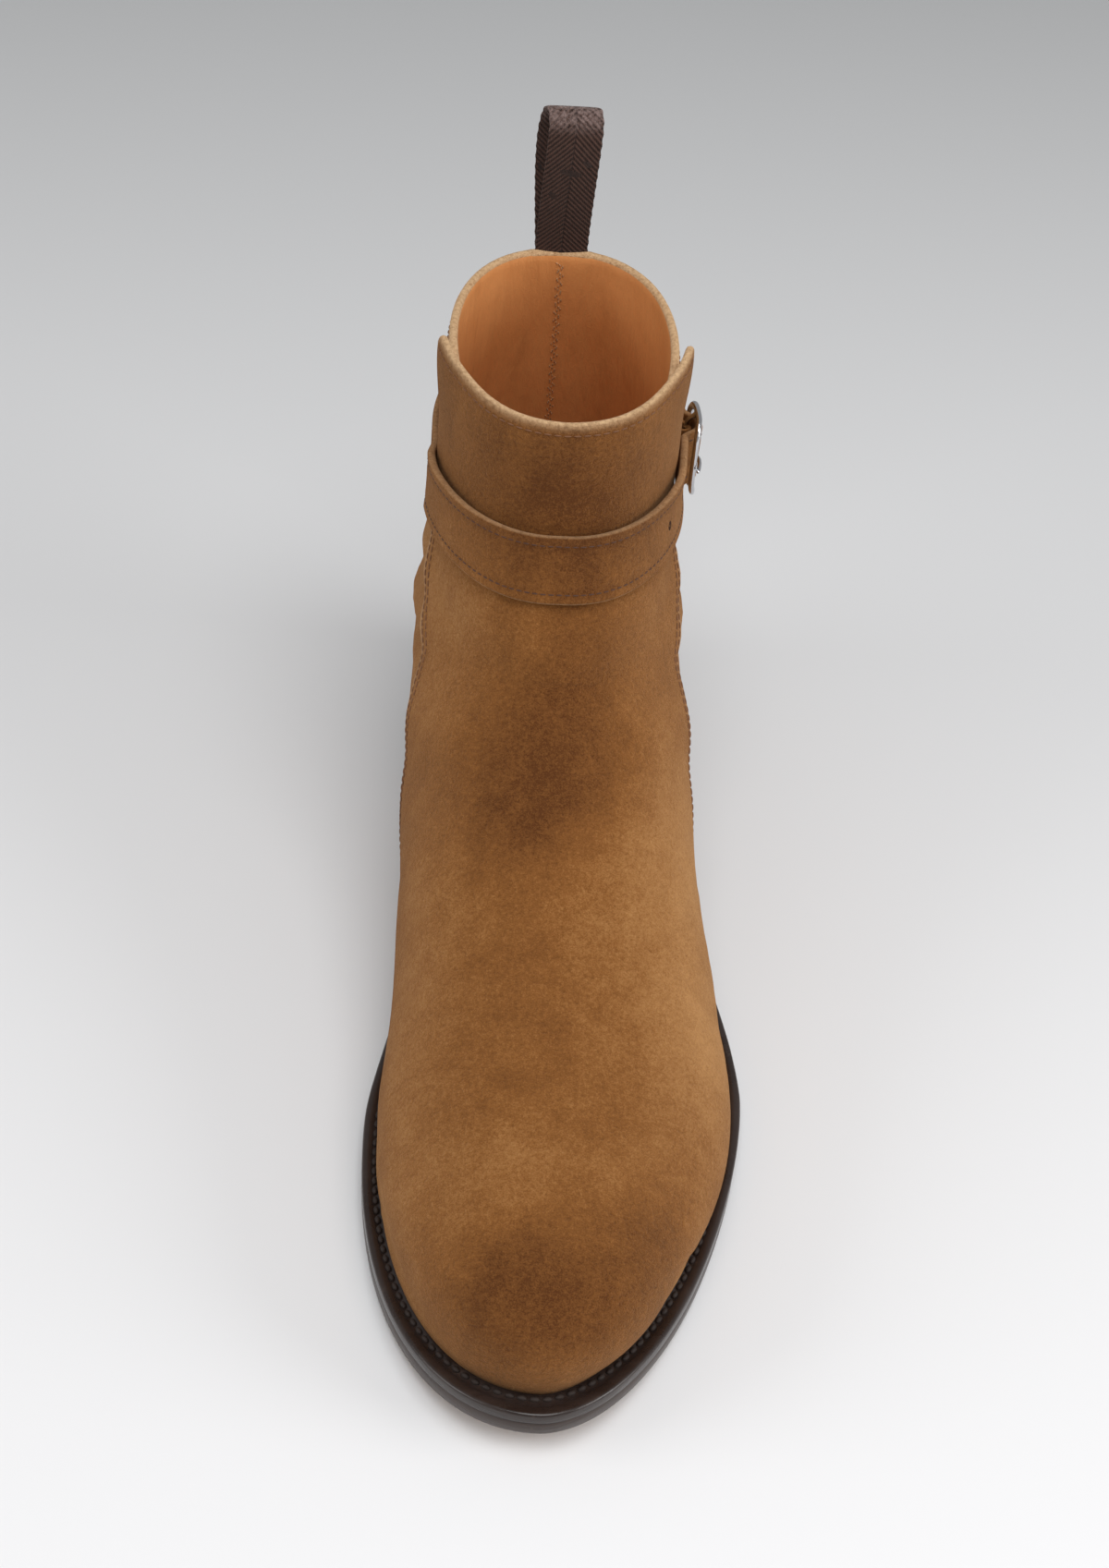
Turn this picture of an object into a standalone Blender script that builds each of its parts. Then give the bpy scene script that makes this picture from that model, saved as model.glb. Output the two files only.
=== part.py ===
"""Jodhpur boot for the left foot: suede upper on a welted leather sole, with a strap and buckle.

The boot stands on its sole. The origin is the middle of the heel's resting face, +Z is up, the
toe points towards -Y and the outer (lateral) side of the foot is +X. Lengths are in metres, and
the tables and constants that end in _MM are in millimetres.
"""

import math

import bmesh
import bpy
import numpy as np

MM = 0.001
GAP_MM = 0.3

# Sole: length from the toe tip to the back of the heel, thicknesses and heights.
FOOT_TIP_MM = -263.0
FOOT_END_MM = 33.0
TOE_ROUND_MM = -215.0
OUTSOLE_MM = 5.0
WELT_MM = 3.6
INSOLE_TOP_MM = 12.0
INSOLE_INSET_MM = 3.2
INSOLE_HEEL_INSET_MM = 1.6
WELT_INSIDE_MM = 2.8
HEEL_INSET_MM = 0.4
HEEL_HEIGHT_MM = 24.0
TOE_SPRING_MM = 9.0
TOE_LIFT_MM = -205.0
WAIST_START_MM = -150.0
SEAT_START_MM = -15.0
BREAST_MM = -34.0
TOP_PIECE_MM = 6.2
LIFT_MM = 5.7
SOLE_TIP_MM = -270.0

# Upper: its wall, the step where the vamp laps over the quarters, and the front flap.
WALL_MM = 2.4
LAP_MM = 2.0
LAP_SOLE_MM = 1.2
STEP_RUN_MM = 0.5
FLAP_GAP_MM = 0.3
CORNER_MM = 5.0
VAMP_CELLS = 9
QUARTER_CELLS = 6

# Strap: it runs from the medial quarter round the front, over the buckle's middle bar, and its tip
# points back through the keeper. Shares run from the front of the shaft (0) to its back (1 or -1).
STRAP_WIDTH_MM = 18.5
STRAP_THICK_MM = 2.2
STRAP_EDGE_MM = 0.8
STRAP_LEAN_MM = 1.2
STRAP_START = -0.80
STRAP_END = 0.78
STRAP_OVER_BAR_MM = 6.9
BUCKLE_SHARE = 0.535
KEEPER_SHARE = 0.67

# Buckle: a frame of oval bars, a round middle bar, the prong on it and the tab that holds it.
BUCKLE_HEIGHT_MM = 29.0
BUCKLE_LENGTH_MM = 21.0
BUCKLE_CORNER_MM = 6.0
BUCKLE_BAR_MM = 3.0
BUCKLE_DEPTH_MM = 2.0
BUCKLE_BOW_MM = 1.0
MIDDLE_BAR_MM = 1.6
MIDDLE_BAR_OUT_MM = 3.9
PRONG_MM = 1.4
PRONG_SLOT_MM = 2.4
TAB_WIDTH_MM = 16.0
TAB_LENGTH_MM = 24.0
TAB_THICK_MM = 1.05
TAB_GAP_MM = 0.3
TAB_REST_MM = 0.5
KEEPER_WIDTH_MM = 6.5
KEEPER_THICK_MM = 1.4
KEEPER_FOOT_MM = 4.5

LOOP_WIDTH_MM = 15.2
LOOP_THICK_MM = 1.0

# Half breadths of the foot's outline at the welt, on each side of the line from heel to toe.
FOOT_MEDIAL = (  # y, half breadth
    (-200, 42.4), (-185, 43.0), (-170, 42.6), (-150, 39.2), (-120, 32.4),
    (-95, 28.0), (-70, 26.4), (-45, 27.4), (-20, 29.4), (0, 30.2),
)
FOOT_LATERAL = (  # y, half breadth
    (-175, 52.4), (-160, 52.8), (-145, 51.6), (-120, 46.4),
    (-95, 40.0), (-70, 35.2), (-45, 32.4), (-20, 31.2), (0, 30.8),
)
TOE_SHAPES = {"medial": (-185.0, 2.0), "lateral": (-160.0, 1.64)}  # y of the widest point, roundness
SOLE_MARGIN = (  # y, how far the sole stands out past the foot's outline
    (-263, 7.0), (-245, 5.8), (-220, 5.0), (-160, 5.0), (-120, 4.6),
    (-80, 4.0), (-40, 3.0), (0, 2.4), (33, 2.4),
)

# Sections of the upper, from the arc round the toe, through upright ones, to the level collar.
# Each lies in a plane from a point on the front line to one on the back line or on the welt.
SECTIONS = (  # front y, front z, back y, back z, medial and lateral half width, peak, roundness
    (-263.0, 16.4, -222.0, None, 36.5, 37.5, None, 2.00),
    (-264.4, 23.0, -219.0, None, 37.0, 38.5, None, 2.05),
    (-263.4, 30.5, -215.0, None, 38.0, 40.5, None, 2.10),
    (-259.0, 37.5, -210.0, None, 39.5, 43.0, 1.15, 2.20),
    (-251.0, 43.2, -204.0, None, 41.2, 45.5, 0.98, 2.25),
    (-240.0, 47.2, -197.0, None, 43.2, 48.8, 0.88, 2.25),
    (-226.0, 50.2, -189.0, None, 44.6, 51.8, 0.82, 2.20),
    (-208.0, 53.4, -180.0, None, 45.2, 54.0, 0.78, 2.15),
    (-188.0, 58.0, -169.0, None, 45.2, 54.8, 0.75, 2.10),
    (-168.0, 64.0, -155.0, None, 43.6, 53.4, 0.71, 2.05),
    (-150.0, 71.5, -137.0, None, 42.0, 49.4, 0.66, 2.00),
    (-135.0, 80.0, -115.0, None, 40.8, 45.8, 0.62, 2.00),
    (-123.0, 87.3, -90.0, None, 40.0, 43.2, 0.58, 2.00),
    (-114.5, 93.2, -62.0, None, 39.8, 41.8, 0.55, 2.05),
    (-108.5, 98.0, -36.0, None, 39.8, 41.2, 0.53, 2.10),
    (-104.5, 101.5, -12.0, None, 39.7, 40.8, 0.52, 2.10),
    (-101.5, 104.5, 10.0, None, 39.5, 40.4, 0.51, 2.10),
    (-99.0, 107.0, 24.0, None, 39.3, 40.1, 0.51, 2.10),
    (-97.0, 109.3, 33.0, None, 39.0, 39.8, 0.50, 2.10),
    (-92.0, 116.0, 35.0, 45.0, 38.6, 39.3, 0.50, 2.10),
    (-86.5, 124.5, 35.6, 58.5, 37.4, 37.8, 0.50, 2.10),
    (-81.0, 134.5, 34.5, 76.0, 35.2, 35.0, 0.50, 2.12),
    (-76.5, 145.0, 31.5, 98.0, 33.6, 32.8, 0.50, 2.15),
    (-73.5, 155.0, 28.0, 121.0, 33.2, 33.0, 0.50, 2.15),
    (-71.5, 164.5, 25.5, 144.0, 32.6, 32.8, 0.50, 2.15),
    (-70.0, 173.5, 24.0, 167.0, 31.6, 32.0, 0.50, 2.15),
    (-69.0, 183.0, 23.0, 189.0, 31.0, 31.4, 0.50, 2.15),
)
LAST_FOOT_SECTION = 18
FOOT_ROWS = (
    *range(9), *(8.5 + 0.5 * i for i in range(16)), 16.7, 17.25, 17.6, 17.85, LAST_FOOT_SECTION,
)

# The vamp's side edge, from the flap's top corner down to the welt, seen from the side.
VAMP_EDGE = (  # z, y
    (0, -112), (20, -107), (35, -100), (55, -89), (75, -76), (90, -64), (108, -50),
    (125, -42), (150, -37), (176, -35), (200, -35),
)
# Heights round the shaft, by the share of the way from the front (0) to the back (1).
STRAP_HEIGHT = ((0, 133.8), (0.25, 132.0), (0.5, 128.6), (0.75, 126.0), (1.0, 125.5))
TOPLINE = ((0, 147.0), (0.12, 151.0), (0.24, 161.0), (0.36, 166.5), (0.6, 168.0), (1.0, 167.0))
FLAP_TOP = ((0, 173.0), (0.15, 173.6), (0.3, 175.5), (0.5, 178.5))


def clear_scene():
    for item in list(bpy.data.objects):
        bpy.data.objects.remove(item)


def material(name, colour, roughness, metallic=0.0):
    made = bpy.data.materials.new(name)
    made.use_nodes = True
    shader = made.node_tree.nodes["Principled BSDF"]
    shader.inputs["Base Color"].default_value = (*colour, 1.0)
    shader.inputs["Roughness"].default_value = roughness
    shader.inputs["Metallic"].default_value = metallic
    return made


def curve(table, x):
    """A smooth curve through the rows of a table of (x, y)."""
    xs, ys = (np.array(column, float) for column in zip(*table))
    return hermite(xs, ys, x)


def hermite(xs, ys, x):
    slopes = np.gradient(ys, xs)
    x = min(max(x, xs[0]), xs[-1])
    i = int(np.clip(np.searchsorted(xs, x) - 1, 0, len(xs) - 2))
    run = xs[i + 1] - xs[i]
    t = (x - xs[i]) / run
    start = (1 + 2 * t) * (1 - t) ** 2 * ys[i] + t * (1 - t) ** 2 * run * slopes[i]
    end = t * t * (3 - 2 * t) * ys[i + 1] + t * t * (t - 1) * run * slopes[i + 1]
    return float(start + end)


def ease(t):
    t = min(max(t, 0.0), 1.0)
    return t * t * (3 - 2 * t)


def sole_z(y):
    """Height of the outsole's lower face: toe spring, flat forefoot, waist and heel seat."""
    spring = TOE_SPRING_MM * max(0.0, (TOE_LIFT_MM - y) / (TOE_LIFT_MM - SOLE_TIP_MM)) ** 2
    rise = HEEL_HEIGHT_MM * ease((y - WAIST_START_MM) / (SEAT_START_MM - WAIST_START_MM))
    return spring + rise


def foot_z(y):
    """Height of the welt's upper face, where the upper's lower edge lies."""
    return sole_z(y) + OUTSOLE_MM + WELT_MM + 2 * GAP_MM


def half_breadth(side, y):
    """Half breadth of the foot's outline at y, on one side of the line from heel to toe."""
    table = FOOT_MEDIAL if side == "medial" else FOOT_LATERAL
    widest, roundness = TOE_SHAPES[side]
    if y < widest:
        share = min(1.0, (widest - y) / (widest - FOOT_TIP_MM))
        return curve(table, widest) * (1 - share**roundness) ** (1 / roundness)
    if y < 0:
        return curve(table, y)
    return curve(table, 0) * math.sqrt(max(0.0, 1 - (y / FOOT_END_MM) ** 2))


def offset_side(side, distance):
    """One side of the foot's outline moved out by a distance, itself a function of y."""
    turns = np.radians(np.linspace(0, 90, 91))
    middle = (TOE_ROUND_MM + FOOT_END_MM) / 2
    ys = np.append(
        middle + (FOOT_TIP_MM - middle) * np.cos(turns), middle + (FOOT_END_MM - middle) * np.sin(turns[1:])
    )
    xs = np.array([half_breadth(side, y) for y in ys])
    slope_x, slope_y = np.gradient(xs), np.gradient(ys)
    slope_x[0], slope_y[0] = 1.0, 0.0
    slope_x[-1], slope_y[-1] = -1.0, 0.0
    size = np.hypot(slope_x, slope_y)
    out = np.array([distance(y) for y in ys])
    return xs + out * slope_y / size, ys - out * slope_x / size


def outline(distance, start=None):
    """Rows of (y, medial x, lateral x) from the toe tip, or from start, to the back of the heel."""
    medial_x, medial_y = offset_side("medial", distance)
    lateral_x, lateral_y = offset_side("lateral", distance)
    tip, end = medial_y[0], medial_y[-1]
    toe = [TOE_ROUND_MM - (TOE_ROUND_MM - tip) * math.cos(math.radians(a)) for a in range(3, 91, 9)]
    middle = list(np.arange(TOE_ROUND_MM + 7, -4, 11.5))
    heel = [end * math.sin(math.radians(a)) for a in range(0, 88, 9)] + [end * math.sin(math.radians(87))]
    rows = [y for y in toe + middle + heel if start is None or y > start + 2]
    if start is not None:
        rows.insert(0, start)
    return [(y, -np.interp(y, medial_y, medial_x), np.interp(y, lateral_y, lateral_x)) for y in rows]


def margin(y):
    return curve(SOLE_MARGIN, y)


def mesh_object(name, points, faces, look, smooth=40):
    """One object from points in millimetres, with doubles merged and its faces pointing out."""
    mesh = bpy.data.meshes.new(name)
    mesh.from_pydata([tuple(MM * c for c in p) for p in points], [], faces)
    bm = bmesh.new()
    bm.from_mesh(mesh)
    bmesh.ops.remove_doubles(bm, verts=bm.verts, dist=1e-6)
    bmesh.ops.dissolve_degenerate(bm, dist=1e-6, edges=bm.edges)
    bmesh.ops.recalc_face_normals(bm, faces=bm.faces)
    bmesh.ops.triangulate(bm, faces=bm.faces)
    bm.to_mesh(mesh)
    bm.free()
    mesh.shade_smooth()
    mesh.set_sharp_from_angle(angle=math.radians(smooth))
    if look is not None:
        mesh.materials.append(look)
    made = bpy.data.objects.new(name, mesh)
    bpy.context.scene.collection.objects.link(made)
    return made


def ring_faces(rings, size, closed):
    """Quads that join each ring of points to the next; closed rings meet their own start."""
    faces = []
    for r in range(rings - 1):
        for i in range(size if closed else size - 1):
            j = (i + 1) % size
            faces.append((r * size + i, r * size + j, (r + 1) * size + j, (r + 1) * size + i))
    return faces


def tube(name, rings, look, smooth=40):
    """A solid from closed rings of points, with a flat cap at each end."""
    size = len(rings[0])
    points = [p for ring in rings for p in ring]
    faces = ring_faces(len(rings), size, True)
    faces.append(tuple(range(size))[::-1])
    last = (len(rings) - 1) * size
    faces.append(tuple(range(last, last + size)))
    return mesh_object(name, points, faces, look, smooth)


def plate(name, rows, low, high, look):
    """A plate between two heights, functions of y, with the outline's rows as its ribs."""
    rings = [
        [(left, y, low(y)), (right, y, low(y)), (right, y, high(y)), (left, y, high(y))]
        for y, left, right in rows
    ]
    return tube(name, rings, look)


def strip_round(name, outer, inner, low, high, look):
    """A flat strip along the edge of the sole, from one side round the end to the other."""
    path = [(left, y, il, iy) for (y, left, _), (iy, il, _) in zip(outer, inner)]
    back = [(right, y, ir, iy) for (y, _, right), (iy, _, ir) in zip(outer, inner)]
    if abs(outer[0][1] - outer[0][2]) < abs(outer[-1][1] - outer[-1][2]):
        path = path[::-1] + back
    else:
        path = path + back[::-1]
    rings = [
        [(x, y, low(y)), (ix, iy, low(iy)), (ix, iy, high(iy)), (x, y, high(y))]
        for x, y, ix, iy in path
    ]
    return tube(name, rings, look)


def section(s, side):
    """The front and back points of a section, and one side of it as shares, widths and lengths."""
    table = np.array([[np.nan if c is None else c for c in row] for row in SECTIONS], float)
    steps = np.arange(len(table), dtype=float)
    front = (hermite(steps, table[:, 0], s), hermite(steps, table[:, 1], s))
    back_y = hermite(steps, table[:, 2], s)
    lateral = side == "lateral"
    widest, toe_round = TOE_SHAPES[side]
    if s < LAST_FOOT_SECTION:
        back_z = foot_z(back_y)
        foot = half_breadth(side, back_y)
    else:
        above = table[LAST_FOOT_SECTION:, 3].copy()
        above[0] = foot_z(FOOT_END_MM)
        back_z = hermite(steps[LAST_FOOT_SECTION:], above, s)
        foot = 0.0
    wide = hermite(steps, table[:, 5 if lateral else 4], s)
    toe_peak = (widest - FOOT_TIP_MM) / (table[0, 2] - FOOT_TIP_MM)
    peaks = table[:, 6].copy()
    peaks[:3] = [toe_peak, 0.55 * toe_peak + 0.45 * 1.15, 0.2 * toe_peak + 0.8 * 1.2]
    rounds = table[:, 7].copy()
    rounds[:2] = [toe_round, (toe_round + rounds[2]) / 2]
    peak, n = hermite(steps, peaks, s), hermite(steps, rounds, s)
    if peak >= 1:
        wide = foot / (1 - ((peak - 1) / peak) ** n) ** (1 / n)
        turn = math.acos(((peak - 1) / peak) ** (n / 2))
        angles = np.linspace(0, turn, 60)
        share = peak * (1 - np.cos(angles) ** (2 / n))
        width = wide * np.sin(angles) ** (2 / n)
    else:
        wide = max(wide, foot + 0.2)
        angles = np.linspace(0, math.pi / 2, 40)
        share = peak * (1 - np.cos(angles) ** (2 / n))
        width = wide * np.sin(angles) ** (2 / n)
        turn = math.asin((foot / wide) ** (n / 2))
        reach = (1 - peak) / math.cos(turn) ** (2 / n)
        low = np.linspace(math.pi / 2, turn, 40)[1:]
        share = np.append(share, peak + reach * np.maximum(np.cos(low), 0) ** (2 / n))
        width = np.append(width, wide * np.maximum(np.sin(low), 0) ** (2 / n))
        share[-1], width[-1] = 1.0, foot
    depth = math.hypot(back_y - front[0], back_z - front[1])
    steps_along = np.hypot(np.diff(share) * depth, np.diff(width))
    return front, (back_y, back_z), share, width, np.append(0, np.cumsum(steps_along))


SECTION_CACHE = {}


def cached_section(s, side):
    key = (round(s, 6), side)
    if key not in SECTION_CACHE:
        SECTION_CACHE[key] = section(key[0], side)
    return SECTION_CACHE[key]


def surface(s, v):
    """The upper's outer form: s runs from the toe (0) to the collar (25), v from medial -1 to 1."""
    side = "lateral" if v >= 0 else "medial"
    front, back, share, width, length = cached_section(s, side)
    along = abs(v) * length[-1]
    t = np.interp(along, length, share)
    x = np.interp(along, length, width) * (1 if v >= 0 else -1)
    return np.array([
        x, front[0] + (back[0] - front[0]) * t, front[1] + (back[1] - front[1]) * t,
    ])


def normal(s, v):
    """The direction out of the upper at a point of its form."""
    closed = s >= LAST_FOOT_SECTION and abs(v) > 0.98
    if closed and abs(v) > 0.995:
        flow = surface(min(s + 0.1, 26), 1) - surface(max(s - 0.1, 0), 1)
        out = np.cross((1.0, 0.0, 0.0), flow)
        return out / np.linalg.norm(out) * (1 if out[1] > 0 else -1)
    ds, dv = 0.1, 0.012
    along = surface(min(s + ds, 26), v) - surface(max(s - ds, 0), v)
    across = surface(s, min(v + dv, 1)) - surface(s, max(v - dv, -1))
    out = np.cross(across, along)
    return out / np.linalg.norm(out)


def side_length(s, v):
    return cached_section(s, "lateral" if v >= 0 else "medial")[4][-1]


def at_height(v, z):
    """The section parameter where the form reaches height z at the share v."""
    low, high = 12.0, 26.0
    for _ in range(26):
        middle = (low + high) / 2
        if surface(middle, v)[2] < z:
            low = middle
        else:
            high = middle
    return (low + high) / 2


def edge_share(s, side):
    """The share v at which the vamp's side edge crosses a section."""
    sign = 1 if side == "lateral" else -1
    ahead = 0.62 + 0.26 * min(s, 11.0) / 11.0
    low, high = 0.0, 1.0
    point = surface(s, sign)
    if s < 11 or point[1] < curve(VAMP_EDGE, point[2]):
        return ahead
    for _ in range(26):
        middle = (low + high) / 2
        point = surface(s, sign * middle)
        if point[1] < curve(VAMP_EDGE, point[2]):
            low = middle
        else:
            high = middle
    return min(low, ahead + 0.06)


def lap(s, v, edge):
    """How far the vamp stands out of the form, at its side edges and towards the strap."""
    size = LAP_SOLE_MM + (LAP_MM - LAP_SOLE_MM) * ease((s - 12) / 7)
    size *= ease((s - 10) / 2)
    from_edge = (edge - abs(v)) * side_length(s, v)
    beside = math.exp(-((from_edge / 16) ** 2))
    below_strap = ease((surface(s, v)[2] - (curve(STRAP_HEIGHT, abs(v)) - 34)) / 24) if s > 17 else 0.0
    return size * max(beside, below_strap)


def shell_point(s, v, out):
    """A point at a distance out of the form; on the welt it stays level with it."""
    base = surface(s, v)
    direction = normal(s, v)
    on_welt = s < 1e-6 or (abs(v) > 0.9999 and s <= LAST_FOOT_SECTION + 1e-6)
    if on_welt:
        flat = np.array([direction[0], direction[1], 0.0])
        moved = base + out * flat / np.linalg.norm(flat)
        return np.array([moved[0], moved[1], foot_z(min(moved[1], FOOT_END_MM))])
    return base + out * direction


def upper_rows():
    """For each row of the upper's grid, a function of v that gives s, and whether the vamp laps."""
    rows = [(lambda v, s=s: float(s), True) for s in FOOT_ROWS]

    def between(v, share):
        joint = at_height(v, curve(STRAP_HEIGHT, abs(v)) - 1.0)
        return LAST_FOOT_SECTION + (joint - LAST_FOOT_SECTION) * share

    def towards_top(v, share):
        joint = at_height(v, curve(STRAP_HEIGHT, abs(v)) - 1.0)
        top = at_height(v, curve(TOPLINE, abs(v)))
        return joint + (top - joint) * share

    for share in (0.2, 0.4, 0.6, 0.8, 1.0):
        rows.append((lambda v, share=share: between(v, share), True))
    for share in (0.03, 0.3, 0.55, 0.78, 1.0):
        rows.append((lambda v, share=share: towards_top(v, share), False))
    return rows


def row_shares(s_of, side):
    """The shares v down one side of a row, with two close together at the vamp's edge."""
    sign = 1 if side == "lateral" else -1
    edge = 0.5
    for _ in range(6):
        edge = edge_share(s_of(sign * edge), side)
    step = STEP_RUN_MM / side_length(s_of(sign * edge), sign)
    vamp = [edge * i / VAMP_CELLS for i in range(VAMP_CELLS + 1)]
    start = edge + step
    quarter = [start + (1 - start) * (i / QUARTER_CELLS) ** 0.9 for i in range(QUARTER_CELLS + 1)]
    return edge, vamp + quarter


def make_upper(look):
    outer, inner = [], []
    for s_of, lapped in upper_rows():
        columns = []
        for side, sign in (("medial", -1), ("lateral", 1)):
            edge, shares = row_shares(s_of, side)
            made = []
            for share in shares:
                v = sign * share
                s = s_of(v)
                rise = lap(s, v, edge) if lapped and share <= edge + 1e-9 else 0.0
                made.append((shell_point(s, v, rise), shell_point(s, v, -WALL_MM)))
            columns.append(made)
        row = columns[0][::-1] + columns[1][1:]
        outer.append([a for a, _ in row])
        inner.append([b for _, b in row])
    count, size = len(outer), len(outer[0])
    points = [p for row in outer + inner for p in row]
    faces = ring_faces(count, size, False)
    half = count * size
    faces += [tuple(half + i for i in face)[::-1] for face in faces]
    top = (count - 1) * size
    for i in range(size - 1):
        faces.append((i + 1, i, half + i, half + i + 1))
        faces.append((top + i, top + i + 1, half + top + i + 1, half + top + i))
    closing = len(FOOT_ROWS) - 1
    for r in range(closing):
        a, b = r * size, (r + 1) * size
        faces.append((a, b, half + b, half + a))
        a, b = a + size - 1, b + size - 1
        faces.append((b, a, half + a, half + b))
    return mesh_object("upper", points, faces, look)


def make_flap(look):
    """The vamp's high front above the strap, which laps over the front edges of the quarters."""
    cells, rows = 20, 7
    outer, inner = [], []
    for k in range(rows + 1):
        level = k / rows
        for shell, out in ((outer, LAP_MM), (inner, FLAP_GAP_MM)):
            line = []
            for i in range(cells + 1):
                u = -1 + 2 * i / cells
                sign = 1 if u >= 0 else -1
                share = abs(u)
                for _ in range(4):
                    side = "lateral" if u >= 0 else "medial"
                    low = at_height(sign * max(share, 1e-3), curve(STRAP_HEIGHT, share) + 0.2)
                    high = at_height(sign * max(share, 1e-3), flap_top(share, u))
                    s = low + (high - low) * level
                    share = abs(u) * edge_share(s, side)
                line.append(surface(s, sign * share) + out * normal(s, sign * share))
            shell.append(line)
    size = cells + 1
    points = [p for row in outer + inner for p in row]
    faces = ring_faces(rows + 1, size, False)
    half = (rows + 1) * size
    faces += [tuple(half + i for i in face)[::-1] for face in faces]
    edge = (
        [i for i in range(size)]
        + [r * size + size - 1 for r in range(1, rows + 1)]
        + [rows * size + i for i in range(size - 2, -1, -1)]
        + [r * size for r in range(rows - 1, 0, -1)]
    )
    for a, b in zip(edge, edge[1:] + edge[:1]):
        faces.append((b, a, half + a, half + b))
    return mesh_object("front_flap", points, faces, look)


def flap_top(share, u):
    """Height of the flap's rim, with its two top corners rounded."""
    run = (1 - abs(u)) * 48
    cut = CORNER_MM - math.sqrt(max(0.0, CORNER_MM**2 - max(0.0, CORNER_MM - run) ** 2))
    return curve(FLAP_TOP, share) - cut


def strap_place(v):
    """The section parameter, and the arc length per section, on the strap's middle line."""
    s = at_height(v, curve(STRAP_HEIGHT, abs(v)))
    scale = np.linalg.norm(surface(s + 0.1, v) - surface(s - 0.1, v)) / 0.2
    return s, scale


def along_strap(v, distance):
    """The share that lies at a distance round the shaft from the share v."""
    return v + distance / side_length(strap_place(v)[0], v)


def band_point(v, across, out):
    """A point of the strap's path: across is up the shaft, out is away from the form."""
    s, scale = strap_place(v)
    s += across / scale
    return surface(s, v) + out * normal(s, v)


def strap_half(v):
    """Half the strap's width, drawn in to a round tip at its end."""
    along = (STRAP_END - v) * side_length(strap_place(v)[0], v)
    reach = STRAP_WIDTH_MM / 2
    if along > reach:
        return reach
    return reach * math.sqrt(max(0.08, 1 - ((reach - along) / reach) ** 2))


def strap_inside(v):
    """The strap's clearance from the form: on the quarter, over the flap, the bar and the tab."""
    over_flap = LAP_MM + GAP_MM
    side = side_length(strap_place(v)[0], v)
    if v < 0:
        past = (-v - edge_share(strap_place(v)[0], "medial")) * side
        return GAP_MM + (over_flap - GAP_MM) * (1 - ease(past / 9))
    from_bar = (v - BUCKLE_SHARE) * side
    level = over_flap if from_bar < 0 else over_tab()
    return level + (STRAP_OVER_BAR_MM - level) * (1 - ease((abs(from_bar) - 1.6) / 6.4))


def strap_lean(v):
    """How much farther the strap's top edge stands off than its lower edge."""
    return STRAP_LEAN_MM * (1 - ease((abs(v) - 0.3) / 0.12))


def over_tab():
    return TAB_REST_MM + 2 * TAB_THICK_MM + TAB_GAP_MM + GAP_MM


def make_strap(look):
    end = along_strap(STRAP_END, -STRAP_WIDTH_MM / 2)
    shares = [*np.linspace(STRAP_START, end, 48), *np.linspace(end, STRAP_END, 7)[1:]]
    rings = []
    for v in shares:
        h, low, lean = strap_half(v), strap_inside(v), strap_lean(v)
        high, middle = low + STRAP_THICK_MM, low + STRAP_THICK_MM / 2
        lip = min(STRAP_EDGE_MM, h / 2)
        profile = (
            (-h, middle), (-h + lip, low), (0, low), (h - lip, low),
            (h, middle), (h - lip, high), (0, high), (-h + lip, high),
        )
        rings.append([
            band_point(v, across, out + lean * (across + h) / (2 * h)) for across, out in profile
        ])
    strap = tube("strap", rings, look)
    cut(strap, prong_slot("strap_slot", (-4.4, -1.0), (3.0, 11.0)))


def prong_slot(name, along, out):
    """A guide block over the buckle's middle, as wide as the prong's slot."""
    half = PRONG_SLOT_MM / 2
    rings = [
        [buckle_point(a, -half, out[0]), buckle_point(a, half, out[0]),
         buckle_point(a, half, out[1]), buckle_point(a, -half, out[1])]
        for a in along
    ]
    return guide(tube(name, rings, None))


def guide(made):
    made.hide_render = True
    made.display_type = "WIRE"
    return made


def cut(piece, guide_piece, operation="DIFFERENCE"):
    change = piece.modifiers.new(guide_piece.name, "BOOLEAN")
    change.operation = operation
    change.solver = "EXACT"
    change.object = guide_piece


def buckle_point(along, across, out):
    """A point of the buckle: along the strap from its middle bar, up the shaft, and out of it."""
    return band_point(along_strap(BUCKLE_SHARE, along), across, out)


def frame_out(along):
    """The middle of the frame's bars, out of the form; the frame is bowed along the strap."""
    bow = BUCKLE_BOW_MM * (1 - (2 * along / BUCKLE_LENGTH_MM) ** 2)
    return over_tab() + STRAP_THICK_MM + GAP_MM + BUCKLE_DEPTH_MM / 2 + bow


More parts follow.
